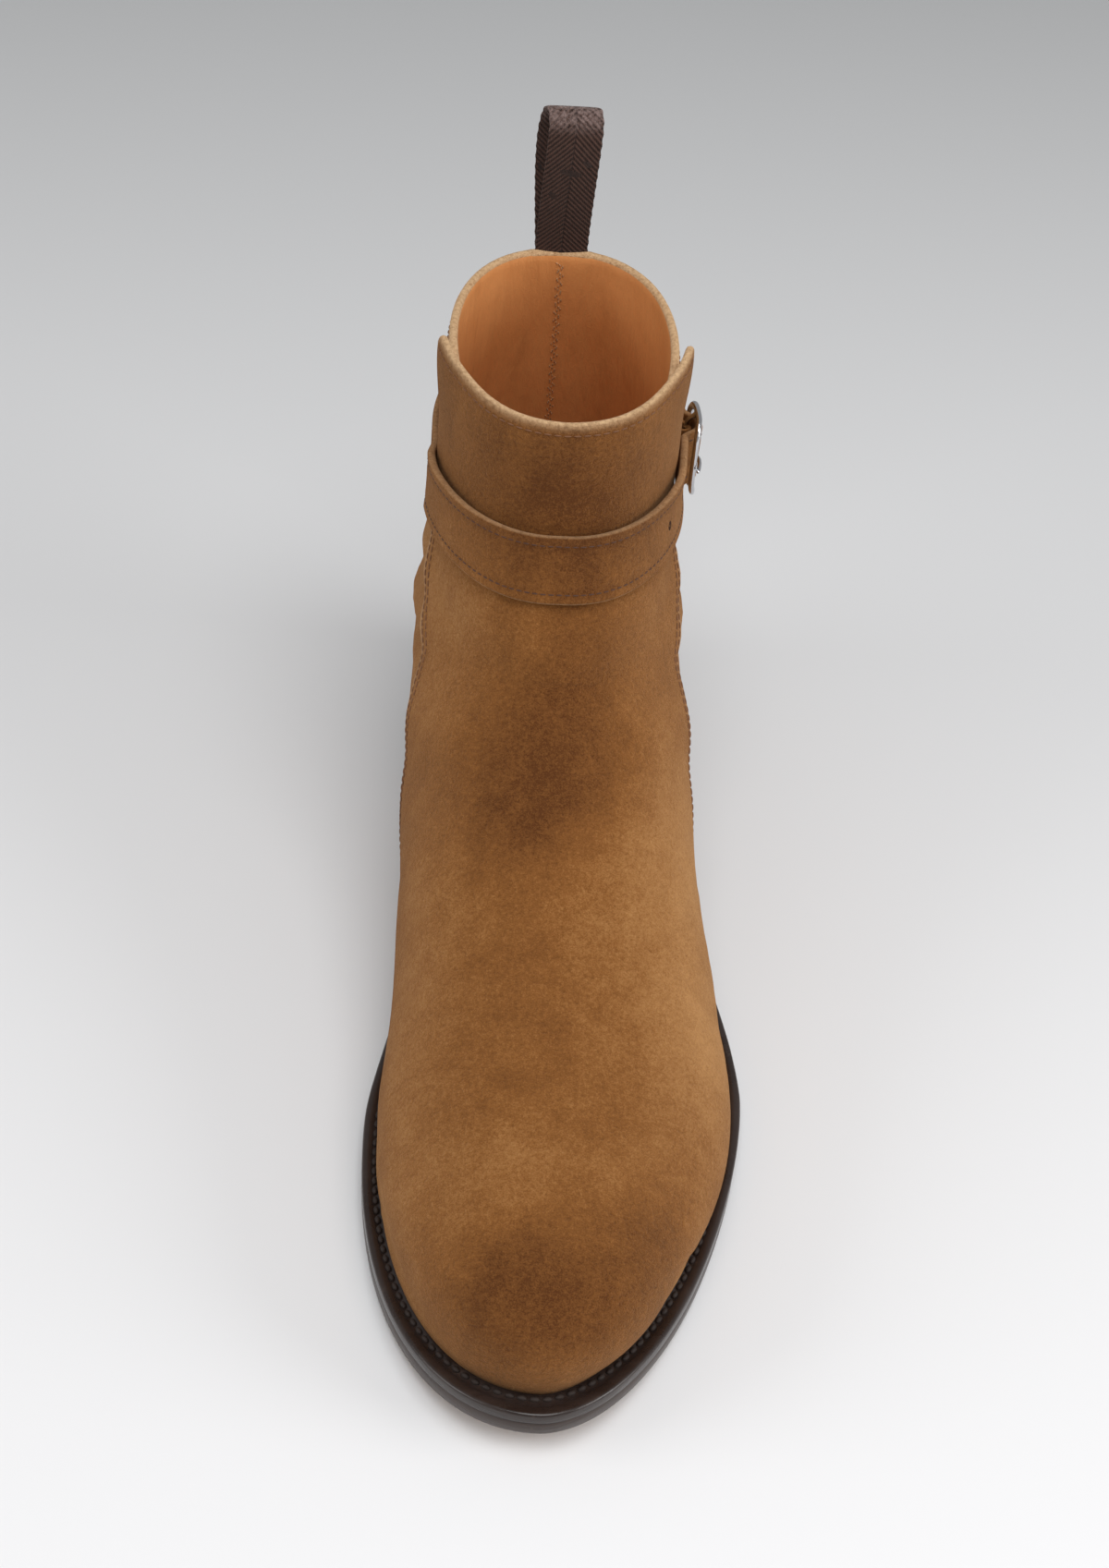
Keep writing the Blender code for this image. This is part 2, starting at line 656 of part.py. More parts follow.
def make_buckle(look):
    """The frame's rounded rectangle of oval bars, with the round middle bar joined to it."""
    corner = BUCKLE_CORNER_MM
    far = (BUCKLE_LENGTH_MM - BUCKLE_BAR_MM) / 2 - corner
    high = (BUCKLE_HEIGHT_MM - BUCKLE_BAR_MM) / 2 - corner
    centre = []
    for middle_along, middle_up, start in (
        (far, high, 0), (-far, high, 90), (-far, -high, 180), (far, -high, 270),
    ):
        for a in range(start, start + 91, 18):
            turn = math.radians(a)
            centre.append((
                middle_along + corner * math.cos(turn), middle_up + corner * math.sin(turn), turn,
            ))
    rings = []
    for along, up, turn in centre:
        ring = []
        for a in range(0, 360, 45):
            wide = BUCKLE_BAR_MM / 2 * math.cos(math.radians(a))
            deep = BUCKLE_DEPTH_MM / 2 * math.sin(math.radians(a))
            place = along + wide * math.cos(turn)
            ring.append(buckle_point(place, up + wide * math.sin(turn), frame_out(along) + deep))
        rings.append(ring)
    size = len(rings[0])
    points = [p for ring in rings for p in ring]
    faces = ring_faces(len(rings), size, True)
    last = (len(rings) - 1) * size
    faces += [(last + i, last + (i + 1) % size, (i + 1) % size, i) for i in range(size)]
    frame = mesh_object("buckle_frame", points, faces, look)
    rail, drop = high + corner, MIDDLE_BAR_OUT_MM
    bar = rod("middle_bar", (
        (0, -rail, frame_out(0)), (0, 1.6 - rail, drop + 1.6), (0, 3.0 - rail, drop),
        (0, rail - 3.0, drop), (0, rail - 1.6, drop + 1.6), (0, rail, frame_out(0)),
    ), MIDDLE_BAR_MM / 2, look)
    cut(frame, guide(bar), "UNION")


def make_prong(look):
    """The prong: bent round the middle bar, up through the strap's hole and on to the front bar."""
    turn_radius = MIDDLE_BAR_MM / 2 + GAP_MM + PRONG_MM / 2
    places = [
        (turn_radius * math.cos(math.radians(a)), 0,
         MIDDLE_BAR_OUT_MM + turn_radius * math.sin(math.radians(a)))
        for a in range(-150, 131, 28)
    ]
    rest = frame_out((BUCKLE_BAR_MM - BUCKLE_LENGTH_MM) / 2) + (BUCKLE_DEPTH_MM + PRONG_MM) / 2 + GAP_MM
    places += [
        (-2.4, 0, 6.9), (-3.4, 0, 8.4), (-5.0, 0, rest + 0.3), (-9.0, -0.6, rest),
        (-11.6, -1.0, rest - 0.5),
    ]
    rod("buckle_prong", places, PRONG_MM / 2, look)


def rod(name, places, radius, look, sides=8):
    """A round rod through places of the buckle, each (along, across, out)."""
    path = [buckle_point(*place) for place in places]
    rings = []
    side = None
    for i, point in enumerate(path):
        tangent = path[min(i + 1, len(path) - 1)] - path[max(i - 1, 0)]
        tangent = tangent / np.linalg.norm(tangent)
        if side is None:
            side = np.cross(tangent, (1.0, 0.0, 0.0))
            side = side if np.linalg.norm(side) > 0.2 else np.cross(tangent, (0.0, 0.0, 1.0))
        side = side - tangent * (side @ tangent)
        side = side / np.linalg.norm(side)
        other = np.cross(tangent, side)
        turns = [2 * math.pi * k / sides for k in range(sides)]
        rings.append([point + radius * (math.cos(a) * side + math.sin(a) * other) for a in turns])
    return tube(name, rings, look)


def make_tab(look):
    """The tab that holds the buckle: a strip folded round the middle bar and sewn to the quarter."""
    low = TAB_REST_MM + TAB_THICK_MM / 2
    high = low + TAB_THICK_MM + TAB_GAP_MM
    turn_radius = MIDDLE_BAR_MM / 2 + GAP_MM + TAB_THICK_MM / 2
    path = [(TAB_LENGTH_MM, low), (12, low), (6, low), (2.6, low + 0.45)]
    for a in range(-80, -281, -25):
        turn = math.radians(a)
        path.append((turn_radius * math.cos(turn), MIDDLE_BAR_OUT_MM + turn_radius * math.sin(turn)))
    path += [(3.2, 4.3), (5.6, high + 0.4), (8, high), (12, high), (TAB_LENGTH_MM, high)]
    rings = []
    for i, (along, out) in enumerate(path):
        (a0, o0), (a1, o1) = path[max(i - 1, 0)], path[min(i + 1, len(path) - 1)]
        length = math.hypot(a1 - a0, o1 - o0)
        da, do = (o0 - o1) / length * TAB_THICK_MM / 2, (a1 - a0) / length * TAB_THICK_MM / 2
        half = TAB_WIDTH_MM / 2
        rings.append([
            buckle_point(along - da, -half, out - do), buckle_point(along - da, half, out - do),
            buckle_point(along + da, half, out + do), buckle_point(along + da, -half, out + do),
        ])
    tab = tube("buckle_tab", rings, look)
    cut(tab, prong_slot("tab_slot", (-5.0, 3.6), (0.8, 8.0)))


def make_keeper(look):
    """A stitched loop of suede that holds the strap's tip against the quarter."""
    thick = KEEPER_THICK_MM
    reach = STRAP_WIDTH_MM / 2 + GAP_MM
    low = strap_inside(KEEPER_SHARE) + STRAP_THICK_MM + GAP_MM
    foot = GAP_MM + thick
    half_profile = (  # across and out of the inner face, across and out of the outer face
        (0, low, 0, low + thick),
        (reach - 1.0, low, reach - 0.4, low + thick),
        (reach, low - 1.0, reach + thick, low - 0.6),
        (reach, foot, reach + thick, foot + 1.2),
        (reach + 1.2, GAP_MM, reach + 2.0, foot),
        (reach + KEEPER_FOOT_MM, GAP_MM, reach + KEEPER_FOOT_MM, foot),
    )
    profile = [(-ia, io, -oa, oo) for ia, io, oa, oo in half_profile[:0:-1]] + list(half_profile)
    start = along_strap(KEEPER_SHARE, -KEEPER_WIDTH_MM / 2)
    end = along_strap(KEEPER_SHARE, KEEPER_WIDTH_MM / 2)
    rings = [
        [band_point(start, ia, io), band_point(end, ia, io),
         band_point(end, oa, oo), band_point(start, oa, oo)]
        for ia, io, oa, oo in profile
    ]
    return tube("keeper", rings, look)


# The pull loop's middle line, from the front leg's foot up over the bend and down the back leg.
LOOP_PATH = (  # x, y, z
    (0.0, 22.1, 0.0), (0.1, 21.4, 7.0), (0.4, 20.0, 16.0), (0.9, 18.9, 26.0), (1.4, 18.6, 35.0),
    (1.7, 19.4, 41.5), (1.4, 21.4, 45.0), (0.6, 24.0, 45.2), (-0.4, 26.2, 42.0), (-1.2, 27.3, 35.0),
    (-1.3, 27.4, 26.0), (-0.9, 26.4, 16.0), (-0.4, 24.9, 7.0), (0.0, 23.7, 0.0),
)


def make_pull_loop(look):
    foot = surface(at_height(1.0, curve(TOPLINE, 1.0)), 1.0)
    rise = foot[2] + GAP_MM
    shift = foot[1] - 24.0
    path = [np.array([x, y + shift - 0.05, z + rise]) for x, y, z in LOOP_PATH]
    rings = []
    for i, point in enumerate(path):
        tangent = path[min(i + 1, len(path) - 1)] - path[max(i - 1, 0)]
        tangent[0] = 0.0
        tangent /= np.linalg.norm(tangent)
        if i in (0, len(path) - 1):
            tangent = np.array([0.0, 0.0, 1.0 if i == 0 else -1.0])
        out = np.cross((1.0, 0.0, 0.0), tangent)
        across = np.array([LOOP_WIDTH_MM / 2, 0.0, 0.0])
        thick = out * LOOP_THICK_MM / 2
        rings.append([
            point - across - thick, point + across - thick,
            point + across + thick, point - across + thick,
        ])
    return tube("pull_loop", rings, look, 30)


def make_sole(leather, rubber):
    edge = outline(margin)
    plate("outsole", edge, sole_z, lambda y: sole_z(y) + OUTSOLE_MM, leather)

    def welt_low(y):
        return sole_z(y) + OUTSOLE_MM + GAP_MM

    def welt_high(y):
        return welt_low(y) + WELT_MM

    def welt_inside(y):
        return -WELT_INSIDE_MM

    def insole_edge(y):
        return -INSOLE_INSET_MM - INSOLE_HEEL_INSET_MM * ease(y / 20)

    inside = outline(welt_inside)
    outer = [row for row in edge if row[0] < BREAST_MM]
    inner = inside[: len(outer)]
    strip_round("welt", outer, inner, welt_low, welt_high, leather)
    seat_outer = outline(margin, outer[-1][0] + GAP_MM)
    seat_inner = outline(welt_inside, outer[-1][0] + GAP_MM)
    strip_round("heel_rand", seat_outer, seat_inner, welt_low, welt_high, leather)
    plate(
        "insole", outline(insole_edge), lambda y: sole_z(y) + OUTSOLE_MM + GAP_MM,
        lambda y: sole_z(y) + INSOLE_TOP_MM, leather,
    )

    def block(name, low, high, look):
        rows = outline(lambda y: margin(y) - HEEL_INSET_MM, BREAST_MM)
        plate(name, rows, low, high, look)

    block("top_piece", lambda y: 0.0, lambda y: TOP_PIECE_MM, rubber)
    base = TOP_PIECE_MM + GAP_MM
    for i in range(2):
        low = base + i * (LIFT_MM + GAP_MM)
        block(f"heel_lift_{i + 1}", lambda y, z=low: z, lambda y, z=low: z + LIFT_MM, leather)
    low = base + 2 * (LIFT_MM + GAP_MM)
    block("heel_lift_3", lambda y: low, lambda y: sole_z(y) - GAP_MM, leather)


def main():
    clear_scene()
    suede = material("suede", (0.32, 0.15, 0.06), 0.95)
    leather = material("sole leather", (0.035, 0.02, 0.014), 0.45)
    rubber = material("heel rubber", (0.02, 0.018, 0.016), 0.7)
    steel = material("polished steel", (0.6, 0.6, 0.62), 0.15, 1.0)
    tape = material("cotton tape", (0.06, 0.035, 0.03), 0.9)
    make_sole(leather, rubber)
    make_upper(suede)
    make_flap(suede)
    make_strap(suede)
    make_tab(suede)
    make_buckle(steel)
    make_prong(steel)
    make_keeper(suede)
    make_pull_loop(tape)


main()
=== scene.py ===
"""Looks of the left jodhpur boot: tan suede, dark welted leather sole, steel buckle, woven loop.

The script runs from top to bottom, in the order in which the boot is put together. Lengths in the
tables are in millimetres, measured from the middle of the heel's resting face.
"""

import math
from functools import lru_cache

import bmesh
import bpy
import numpy as np
from mathutils import Euler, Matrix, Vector


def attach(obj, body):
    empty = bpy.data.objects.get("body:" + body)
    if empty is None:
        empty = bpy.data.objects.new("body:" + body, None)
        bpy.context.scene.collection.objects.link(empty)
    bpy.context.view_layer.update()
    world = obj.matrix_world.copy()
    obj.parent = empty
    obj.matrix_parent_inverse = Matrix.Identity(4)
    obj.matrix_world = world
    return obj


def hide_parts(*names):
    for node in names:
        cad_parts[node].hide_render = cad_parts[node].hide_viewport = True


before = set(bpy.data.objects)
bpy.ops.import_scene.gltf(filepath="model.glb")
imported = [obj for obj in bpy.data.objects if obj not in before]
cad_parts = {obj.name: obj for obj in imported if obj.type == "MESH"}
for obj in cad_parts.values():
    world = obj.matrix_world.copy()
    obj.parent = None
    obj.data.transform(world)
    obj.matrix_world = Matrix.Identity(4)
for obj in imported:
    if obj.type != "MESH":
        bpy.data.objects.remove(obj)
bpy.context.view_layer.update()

# The camera looks down on the boot from above and before the toe. Its view is turned to the boot
# and drawn in until the boot fills the frame.
CAMERA_PLACE = (-0.0323, -0.5875, 0.5406)
CAMERA_DOWN = math.radians(40.9)
CAMERA_LEFT = math.asin(0.0523)
FOCAL_LENGTH, PICTURE_HEIGHT = 2000.0, 1697.0  # in the picture's pixels
BOOT_RIGHT, BOOT_UP = 178.0, -112.0  # of the first view's middle, in the same pixels
SENSOR_MM = 36.0
CLOSER = 1.30

first_view = Euler((math.radians(90) - CAMERA_DOWN, 0.0, CAMERA_LEFT)).to_matrix()
ahead = first_view @ Vector((0.0, 0.0, -1.0))
to_boot = (first_view @ Vector((BOOT_RIGHT, BOOT_UP, -FOCAL_LENGTH))).normalized()
camera_data = bpy.data.cameras.new("camera")
camera_data.sensor_fit = "VERTICAL"
camera_data.sensor_height = SENSOR_MM
camera_data.lens = FOCAL_LENGTH / PICTURE_HEIGHT * SENSOR_MM * CLOSER
camera = bpy.data.objects.new("camera", camera_data)
camera.location = CAMERA_PLACE
camera.rotation_euler = (ahead.rotation_difference(to_boot).to_matrix() @ first_view).to_euler()
bpy.context.scene.collection.objects.link(camera)
bpy.context.scene.camera = camera

# Sole: a 5 mm leather outsole, a welt sewn round the forefoot, a rand round the heel seat and a
# stacked heel of leather lifts on a rubber top piece, all trimmed to one edge and dressed dark.
MM = 0.001
GAP = 0.3
FOOT_TIP, FOOT_END, TOE_ROUND = -263.0, 33.0, -215.0
OUTSOLE, WELT, WELT_INSIDE = 5.0, 3.6, 2.8
HEEL_HEIGHT, TOE_SPRING, TOE_LIFT, SOLE_TIP = 24.0, 9.0, -205.0, -270.0
WAIST_START, SEAT_START, BREAST = -150.0, -15.0, -34.0
TOP_PIECE, LIFT, HEEL_INSET = 6.2, 5.7, 0.4
FOOT_MEDIAL = (  # y, half breadth
    (-200, 42.4), (-185, 43.0), (-170, 42.6), (-150, 39.2), (-120, 32.4),
    (-95, 28.0), (-70, 26.4), (-45, 27.4), (-20, 29.4), (0, 30.2),
)
FOOT_LATERAL = (  # y, half breadth
    (-175, 52.4), (-160, 52.8), (-145, 51.6), (-120, 46.4),
    (-95, 40.0), (-70, 35.2), (-45, 32.4), (-20, 31.2), (0, 30.8),
)
TOE_SHAPES = {"medial": (-185.0, 2.0), "lateral": (-160.0, 1.64)}  # y of the widest point, roundness
SOLE_MARGIN = (  # y, how far the sole stands out past the foot's outline
    (-263, 7.0), (-245, 5.8), (-220, 5.0), (-160, 5.0), (-120, 4.6),
    (-80, 4.0), (-40, 3.0), (0, 2.4), (33, 2.4),
)


def hermite(xs, ys, x):
    """A smooth curve through the points (xs, ys), read at x."""
    slopes = np.gradient(ys, xs)
    x = min(max(x, xs[0]), xs[-1])
    i = int(np.clip(np.searchsorted(xs, x) - 1, 0, len(xs) - 2))
    run = xs[i + 1] - xs[i]
    t = (x - xs[i]) / run
    start = (1 + 2 * t) * (1 - t) ** 2 * ys[i] + t * (1 - t) ** 2 * run * slopes[i]
    end = t * t * (3 - 2 * t) * ys[i + 1] + t * t * (t - 1) * run * slopes[i + 1]
    return float(start + end)


def curve(table, x):
    xs, ys = (np.array(column, float) for column in zip(*table))
    return hermite(xs, ys, x)


def ease(t):
    t = min(max(t, 0.0), 1.0)
    return t * t * (3 - 2 * t)


def sole_z(y):
    """Height of the outsole's lower face: toe spring, flat forefoot, waist and heel seat."""
    spring = TOE_SPRING * max(0.0, (TOE_LIFT - y) / (TOE_LIFT - SOLE_TIP)) ** 2
    return spring + HEEL_HEIGHT * ease((y - WAIST_START) / (SEAT_START - WAIST_START))


def foot_z(y):
    return sole_z(y) + OUTSOLE + WELT + 2 * GAP


def half_breadth(side, y):
    """Half the foot's breadth on one side, with a round toe and heel."""
    table = FOOT_MEDIAL if side == "medial" else FOOT_LATERAL
    widest, roundness = TOE_SHAPES[side]
    if y < widest:
        share = min(1.0, (widest - y) / (widest - FOOT_TIP))
        return curve(table, widest) * (1 - share**roundness) ** (1 / roundness)
    if y < 0:
        return curve(table, y)
    return curve(table, 0) * math.sqrt(max(0.0, 1 - (y / FOOT_END) ** 2))


def offset_side(side, distance):
    """One side of the foot's outline, moved out by a distance that changes with y."""
    turns = np.radians(np.linspace(0, 90, 181))
    middle = (TOE_ROUND + FOOT_END) / 2
    ys = np.append(
        middle + (FOOT_TIP - middle) * np.cos(turns), middle + (FOOT_END - middle) * np.sin(turns[1:])
    )
    xs = np.array([half_breadth(side, y) for y in ys])
    slope_x, slope_y = np.gradient(xs), np.gradient(ys)
    slope_x[0], slope_y[0] = 1.0, 0.0
    slope_x[-1], slope_y[-1] = -1.0, 0.0
    size = np.hypot(slope_x, slope_y)
    out = np.array([distance(y) for y in ys])
    return xs + out * slope_y / size, ys - out * slope_x / size


def edge_loop(distance, start=None, end=None):
    """Points (x, y) round the toe as far back as end, or round the heel from start."""
    sides = []
    for side, sign in (("medial", -1), ("lateral", 1)):
        xs, ys = offset_side(side, distance)
        line = [(sign * x, y) for x, y in zip(xs, ys)]
        if start is None:
            last = (sign * np.interp(end, ys, xs), end)
            sides.append([p for p in line if p[1] < end - 0.5] + [last])
        else:
            first = (sign * np.interp(start, ys, xs), start)
            sides.append([first] + [p for p in line if p[1] > start + 0.5])
    medial, lateral = sides
    return medial[::-1] + lateral[1:] if start is None else medial + lateral[::-1]


def margin(y):
    return curve(SOLE_MARGIN, y)


def piece(name, points, faces, looks, indices=None, marks=None, smooth=40):
    """A mesh object from points in millimetres, with named marks on its points, facing out."""
    mesh = bpy.data.meshes.new(name)
    mesh.from_pydata([tuple(float(MM * c) for c in p) for p in points], [], faces)
    for look in looks:
        mesh.materials.append(look)
    if indices is not None:
        mesh.polygons.foreach_set("material_index", indices)
    for key, values in (marks or {}).items():
        layer = mesh.attributes.new(key, "FLOAT", "POINT")
        layer.data.foreach_set("value", np.asarray(values, np.float32))
    bm = bmesh.new()
    bm.from_mesh(mesh)
    bmesh.ops.remove_doubles(bm, verts=bm.verts, dist=2e-6)
    bmesh.ops.recalc_face_normals(bm, faces=bm.faces)
    bm.to_mesh(mesh)
    bm.free()
    mesh.shade_smooth()
    mesh.set_sharp_from_angle(angle=math.radians(smooth))
    made = bpy.data.objects.new(name, mesh)
    bpy.context.scene.collection.objects.link(made)
    return made


def place(tree, kind, sockets=None, **settings):
    """A node with its settings, and its sockets set or linked."""
    node = tree.nodes.new(kind)
    for key, value in settings.items():
        setattr(node, key, value)
    for key, value in (sockets or {}).items():
        if isinstance(value, bpy.types.NodeSocket):
            tree.links.new(value, node.inputs[key])
        else:
            node.inputs[key].default_value = value
    return node


def finish_of(name, **constants):
    """A material with its tree and its Principled BSDF."""
    made = bpy.data.materials.new(name)
    made.use_nodes = True
    shader = made.node_tree.nodes["Principled BSDF"]
    for key, value in constants.items():
        shader.inputs[key.replace("_", " ")].default_value = value
    return made, made.node_tree, shader


def object_noise(tree, scale, detail=3.0, roughness=0.5, stretch=(1.0, 1.0, 1.0)):
    """Noise on the object's own coordinates, in metres, stretched by direction."""
    spot = place(tree, "ShaderNodeTexCoord").outputs["Object"]
    turned = place(tree, "ShaderNodeMapping", {"Vector": spot, "Scale": stretch})
    return place(tree, "ShaderNodeTexNoise", {
        "Vector": turned.outputs["Vector"], "Scale": scale, "Detail": detail, "Roughness": roughness,
    }).outputs["Fac"]


def span(tree, value, low, high, to_low=0.0, to_high=1.0):
    return place(tree, "ShaderNodeMapRange", {
        "Value": value, "From Min": low, "From Max": high, "To Min": to_low, "To Max": to_high,
    }).outputs["Result"]


def blend(tree, factor, first, second):
    """A colour between two others; factor 0 gives the first."""
    first, second = (c if isinstance(c, bpy.types.NodeSocket) else (*c, 1.0) for c in (first, second))
    mix = place(tree, "ShaderNodeMix", {0: factor, 6: first, 7: second}, data_type="RGBA")
    return mix.outputs[2]


def calc(tree, operation, first, second=0.0):
    return place(tree, "ShaderNodeMath", {0: first, 1: second}, operation=operation).outputs[0]


def added(tree, *values):
    total = values[0]
    for value in values[1:]:
        total = calc(tree, "ADD", total, value)
    return total


def times(tree, value, factor):
    return calc(tree, "MULTIPLY", value, factor)


def join(tree, shader, colour, rough, height, strength, distance):
    """Join colour, roughness and relief to the shader; distance is the relief's depth in metres."""
    relief = place(tree, "ShaderNodeBump", {"Strength": strength, "Distance": distance, "Height": height})
    for key, value in (("Base Color", colour), ("Roughness", rough), ("Normal", relief.outputs["Normal"])):
        tree.links.new(value, shader.inputs[key])


def sole_edge_finish(name, dark, light, rough, wear):
    """Dressed and burnished leather: nearly black, streaked along the edge, scuffed here and there."""
    made, tree, shader = finish_of(name, Specular_IOR_Level=0.34, Coat_Roughness=0.25)
    layers = object_noise(tree, 60.0, 4.0, 0.6, (1.0, 1.0, 14.0))
    grain = object_noise(tree, 900.0, 3.0, 0.6)
    scuffs = span(tree, object_noise(tree, 190.0, 6.0, 0.75), 0.60, 0.78)
    colour = blend(tree, span(tree, layers, 0.3, 0.7), dark, light)
    colour = blend(tree, times(tree, scuffs, wear), colour, (0.16, 0.11, 0.085))
    tree.links.new(span(tree, scuffs, 0.0, 1.0, 0.26, 0.05), shader.inputs["Coat Weight"])
    roughness = span(tree, layers, 0.25, 0.75, rough - 0.08, rough + 0.14)
    join(tree, shader, colour, roughness, added(tree, layers, times(tree, grain, 0.4)), 0.35, 0.0004)
    return made


def sole_face_finish():
    """The outsole's walking face: plain tan leather, sanded, with fine scratches."""
    made, tree, shader = finish_of("outsole face", Specular_IOR_Level=0.4)
    cloud = object_noise(tree, 26.0, 5.0, 0.6)
    scratches = object_noise(tree, 220.0, 4.0, 0.7, (1.0, 0.06, 1.0))
    colour = blend(tree, cloud, (0.30, 0.17, 0.09), (0.40, 0.25, 0.14))
    colour = blend(tree, span(tree, scratches, 0.58, 0.75, 0.0, 0.5), colour, (0.17, 0.10, 0.06))
    join(tree, shader, colour, span(tree, scratches, 0.3, 0.7, 0.42, 0.62), scratches, 0.2, 0.0003)
    return made


def rubber_finish():
    """Dull black rubber, a little dusty."""
    made, tree, shader = finish_of("heel rubber", Specular_IOR_Level=0.45)
    cloud = object_noise(tree, 300.0, 5.0, 0.6)
    dust = span(tree, object_noise(tree, 60.0, 4.0, 0.6), 0.5, 0.8, 0.0, 0.35)
    colour = blend(tree, dust, (0.018, 0.015, 0.014), (0.06, 0.053, 0.048))
    join(tree, shader, colour, span(tree, cloud, 0.3, 0.7, 0.55, 0.75), cloud, 0.25, 0.0003)
    return made


outsole_edge = sole_edge_finish("outsole edge", (0.026, 0.015, 0.011), (0.050, 0.031, 0.024), 0.42, 0.35)
welt_edge = sole_edge_finish("welt edge", (0.018, 0.011, 0.009), (0.034, 0.022, 0.018), 0.26, 0.30)
lift_edge = sole_edge_finish("heel lifts", (0.022, 0.014, 0.011), (0.045, 0.030, 0.024), 0.34, 0.25)
outsole_face = sole_face_finish()
heel_rubber = rubber_finish()
SLAB_EDGE = ((1.0, 0.0), (0.29, 0.29), (0.0, 1.0))  # shares of the rounding, inwards and from the face
SLAB_RIBS = 9


def ring_faces(count, size):
    """Faces between rings of points, each ring closed on itself."""
    return [
        (r * size + k, r * size + (k + 1) % size, (r + 1) * size + (k + 1) % size, (r + 1) * size + k)
        for r in range(count - 1) for k in range(size)
    ]


def slab(name, loop, low, high, rounding, looks, face_look=0):
    """A plate over a closed loop of (x, y), its edge rounded, its faces filled by ribs across."""
    count = len(loop)
    area = sum(a[0] * b[1] - b[0] * a[1] for a, b in zip(loop, loop[1:] + loop[:1]))
    inward = math.copysign(rounding, -area)
    steps = [(inset, lift, low) for inset, lift in SLAB_EDGE]
    steps += [(inset, -lift, high) for inset, lift in SLAB_EDGE[::-1]]
    points = []
    for inset, lift, level in steps:
        for i, (x, y) in enumerate(loop):
            along = np.array(loop[(i + 1) % count]) - np.array(loop[i - 1])
            along *= inset * inward / max(np.linalg.norm(along), 1e-9)
            points.append((x + along[1], y - along[0], level(y) + lift * rounding))
    faces = ring_faces(len(steps), count)
    indices = [0] * len(faces)
    for ring, level, look in ((0, low, face_look), (len(steps) - 1, high, 0)):
        ribs = []
        for i in range(count // 2 + 1):
            a, b = ring * count + i, ring * count + (count - i) % count
            if a == b:
                ribs.append([a] * (SLAB_RIBS + 1))
                continue
            start, run = np.array(points[a]), np.array(points[b]) - np.array(points[a])
            rib = [a]
            for k in range(1, SLAB_RIBS):
                x, y, _ = start + run * k / SLAB_RIBS
                points.append((x, y, level(y)))
                rib.append(len(points) - 1)
            ribs.append(rib + [b])
        for one, two in zip(ribs, ribs[1:]):
            for k in range(SLAB_RIBS):
                face = tuple(dict.fromkeys((one[k], one[k + 1], two[k + 1], two[k])))
                if len(face) > 2:
                    faces.append(face)
                    indices.append(look)
    return piece(name, points, faces, looks, indices)


def mirrored_loop(distance, start=None):
    """A closed loop whose points pair off from side to side, so that ribs run straight across."""
    medial_x, medial_y = offset_side("medial", distance)
    lateral_x, lateral_y = offset_side("lateral", distance)
    tip, end = medial_y[0], medial_y[-1]
    turns = np.radians(np.arange(3, 90, 3))
    ys = [tip + (TOE_ROUND - tip) * (1 - math.cos(turn)) for turn in (*turns, math.radians(90))]
    ys += list(np.arange(TOE_ROUND + 4, 0, 4.0))
    ys += [end * math.sin(turn) for turn in (*turns, math.radians(89.2))]
    first = (0.0, tip)
    if start is not None:
        ys = [start] + [y for y in ys if y > start + 1]
        first = (0.0, start)
    left = [(-np.interp(y, medial_y, medial_x), y) for y in ys]
    right = [(np.interp(y, lateral_y, lateral_x), y) for y in ys]
    return [first] + left + [(0.0, end)] + right[::-1]


OUTSOLE_ROUNDING, LIFT_ROUNDING = 0.9, 0.45
outsole = slab(
    "outsole_dressed", mirrored_loop(margin), sole_z, lambda y: sole_z(y) + OUTSOLE, OUTSOLE_ROUNDING,
    [outsole_edge, outsole_face], 1,
)
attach(outsole, "root")
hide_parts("outsole")

heel_loop = mirrored_loop(lambda y: margin(y) - HEEL_INSET, BREAST)
heel_layers = [("top_piece", 0.0, TOP_PIECE, heel_rubber, "heel_rubber")]
for number in (1, 2, 3):
    base = TOP_PIECE + GAP + (number - 1) * (LIFT + GAP)
    heel_layers.append((f"heel_lift_{number}", base, base + LIFT, lift_edge, "sole_leather"))
for node, base, top, look, slot in heel_layers:
    high = (lambda y: sole_z(y) - GAP) if node == "heel_lift_3" else (lambda y: top)
    layer = slab(node + "_dressed", heel_loop, lambda y: base, high, LIFT_ROUNDING, [look])
    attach(layer, "root")
    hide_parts(node)


def welt_low(y):
    return sole_z(y) + OUTSOLE + GAP


def welt_high(y):
    return welt_low(y) + WELT


def edge_strip(name, profile, **ends):
    """A strip along the sole's edge; the profile gives shares across it and heights from its top."""
    size = len(profile)
    outer, inner = edge_loop(margin, **ends), edge_loop(lambda y: -WELT_INSIDE, **ends)
    points = []
    for (ox, oy), (ix, iy) in zip(outer, inner):
        for share, rise in profile:
            x, y = ox + (ix - ox) * share, oy + (iy - oy) * share
            points.append((x, y, welt_low(y) if rise is None else welt_high(y) + rise))
    last = (len(outer) - 1) * size
    caps = [tuple(range(size))[::-1], tuple(range(last, last + size))]
    return piece(name, points, ring_faces(len(outer), size) + caps, [welt_edge], smooth=50)


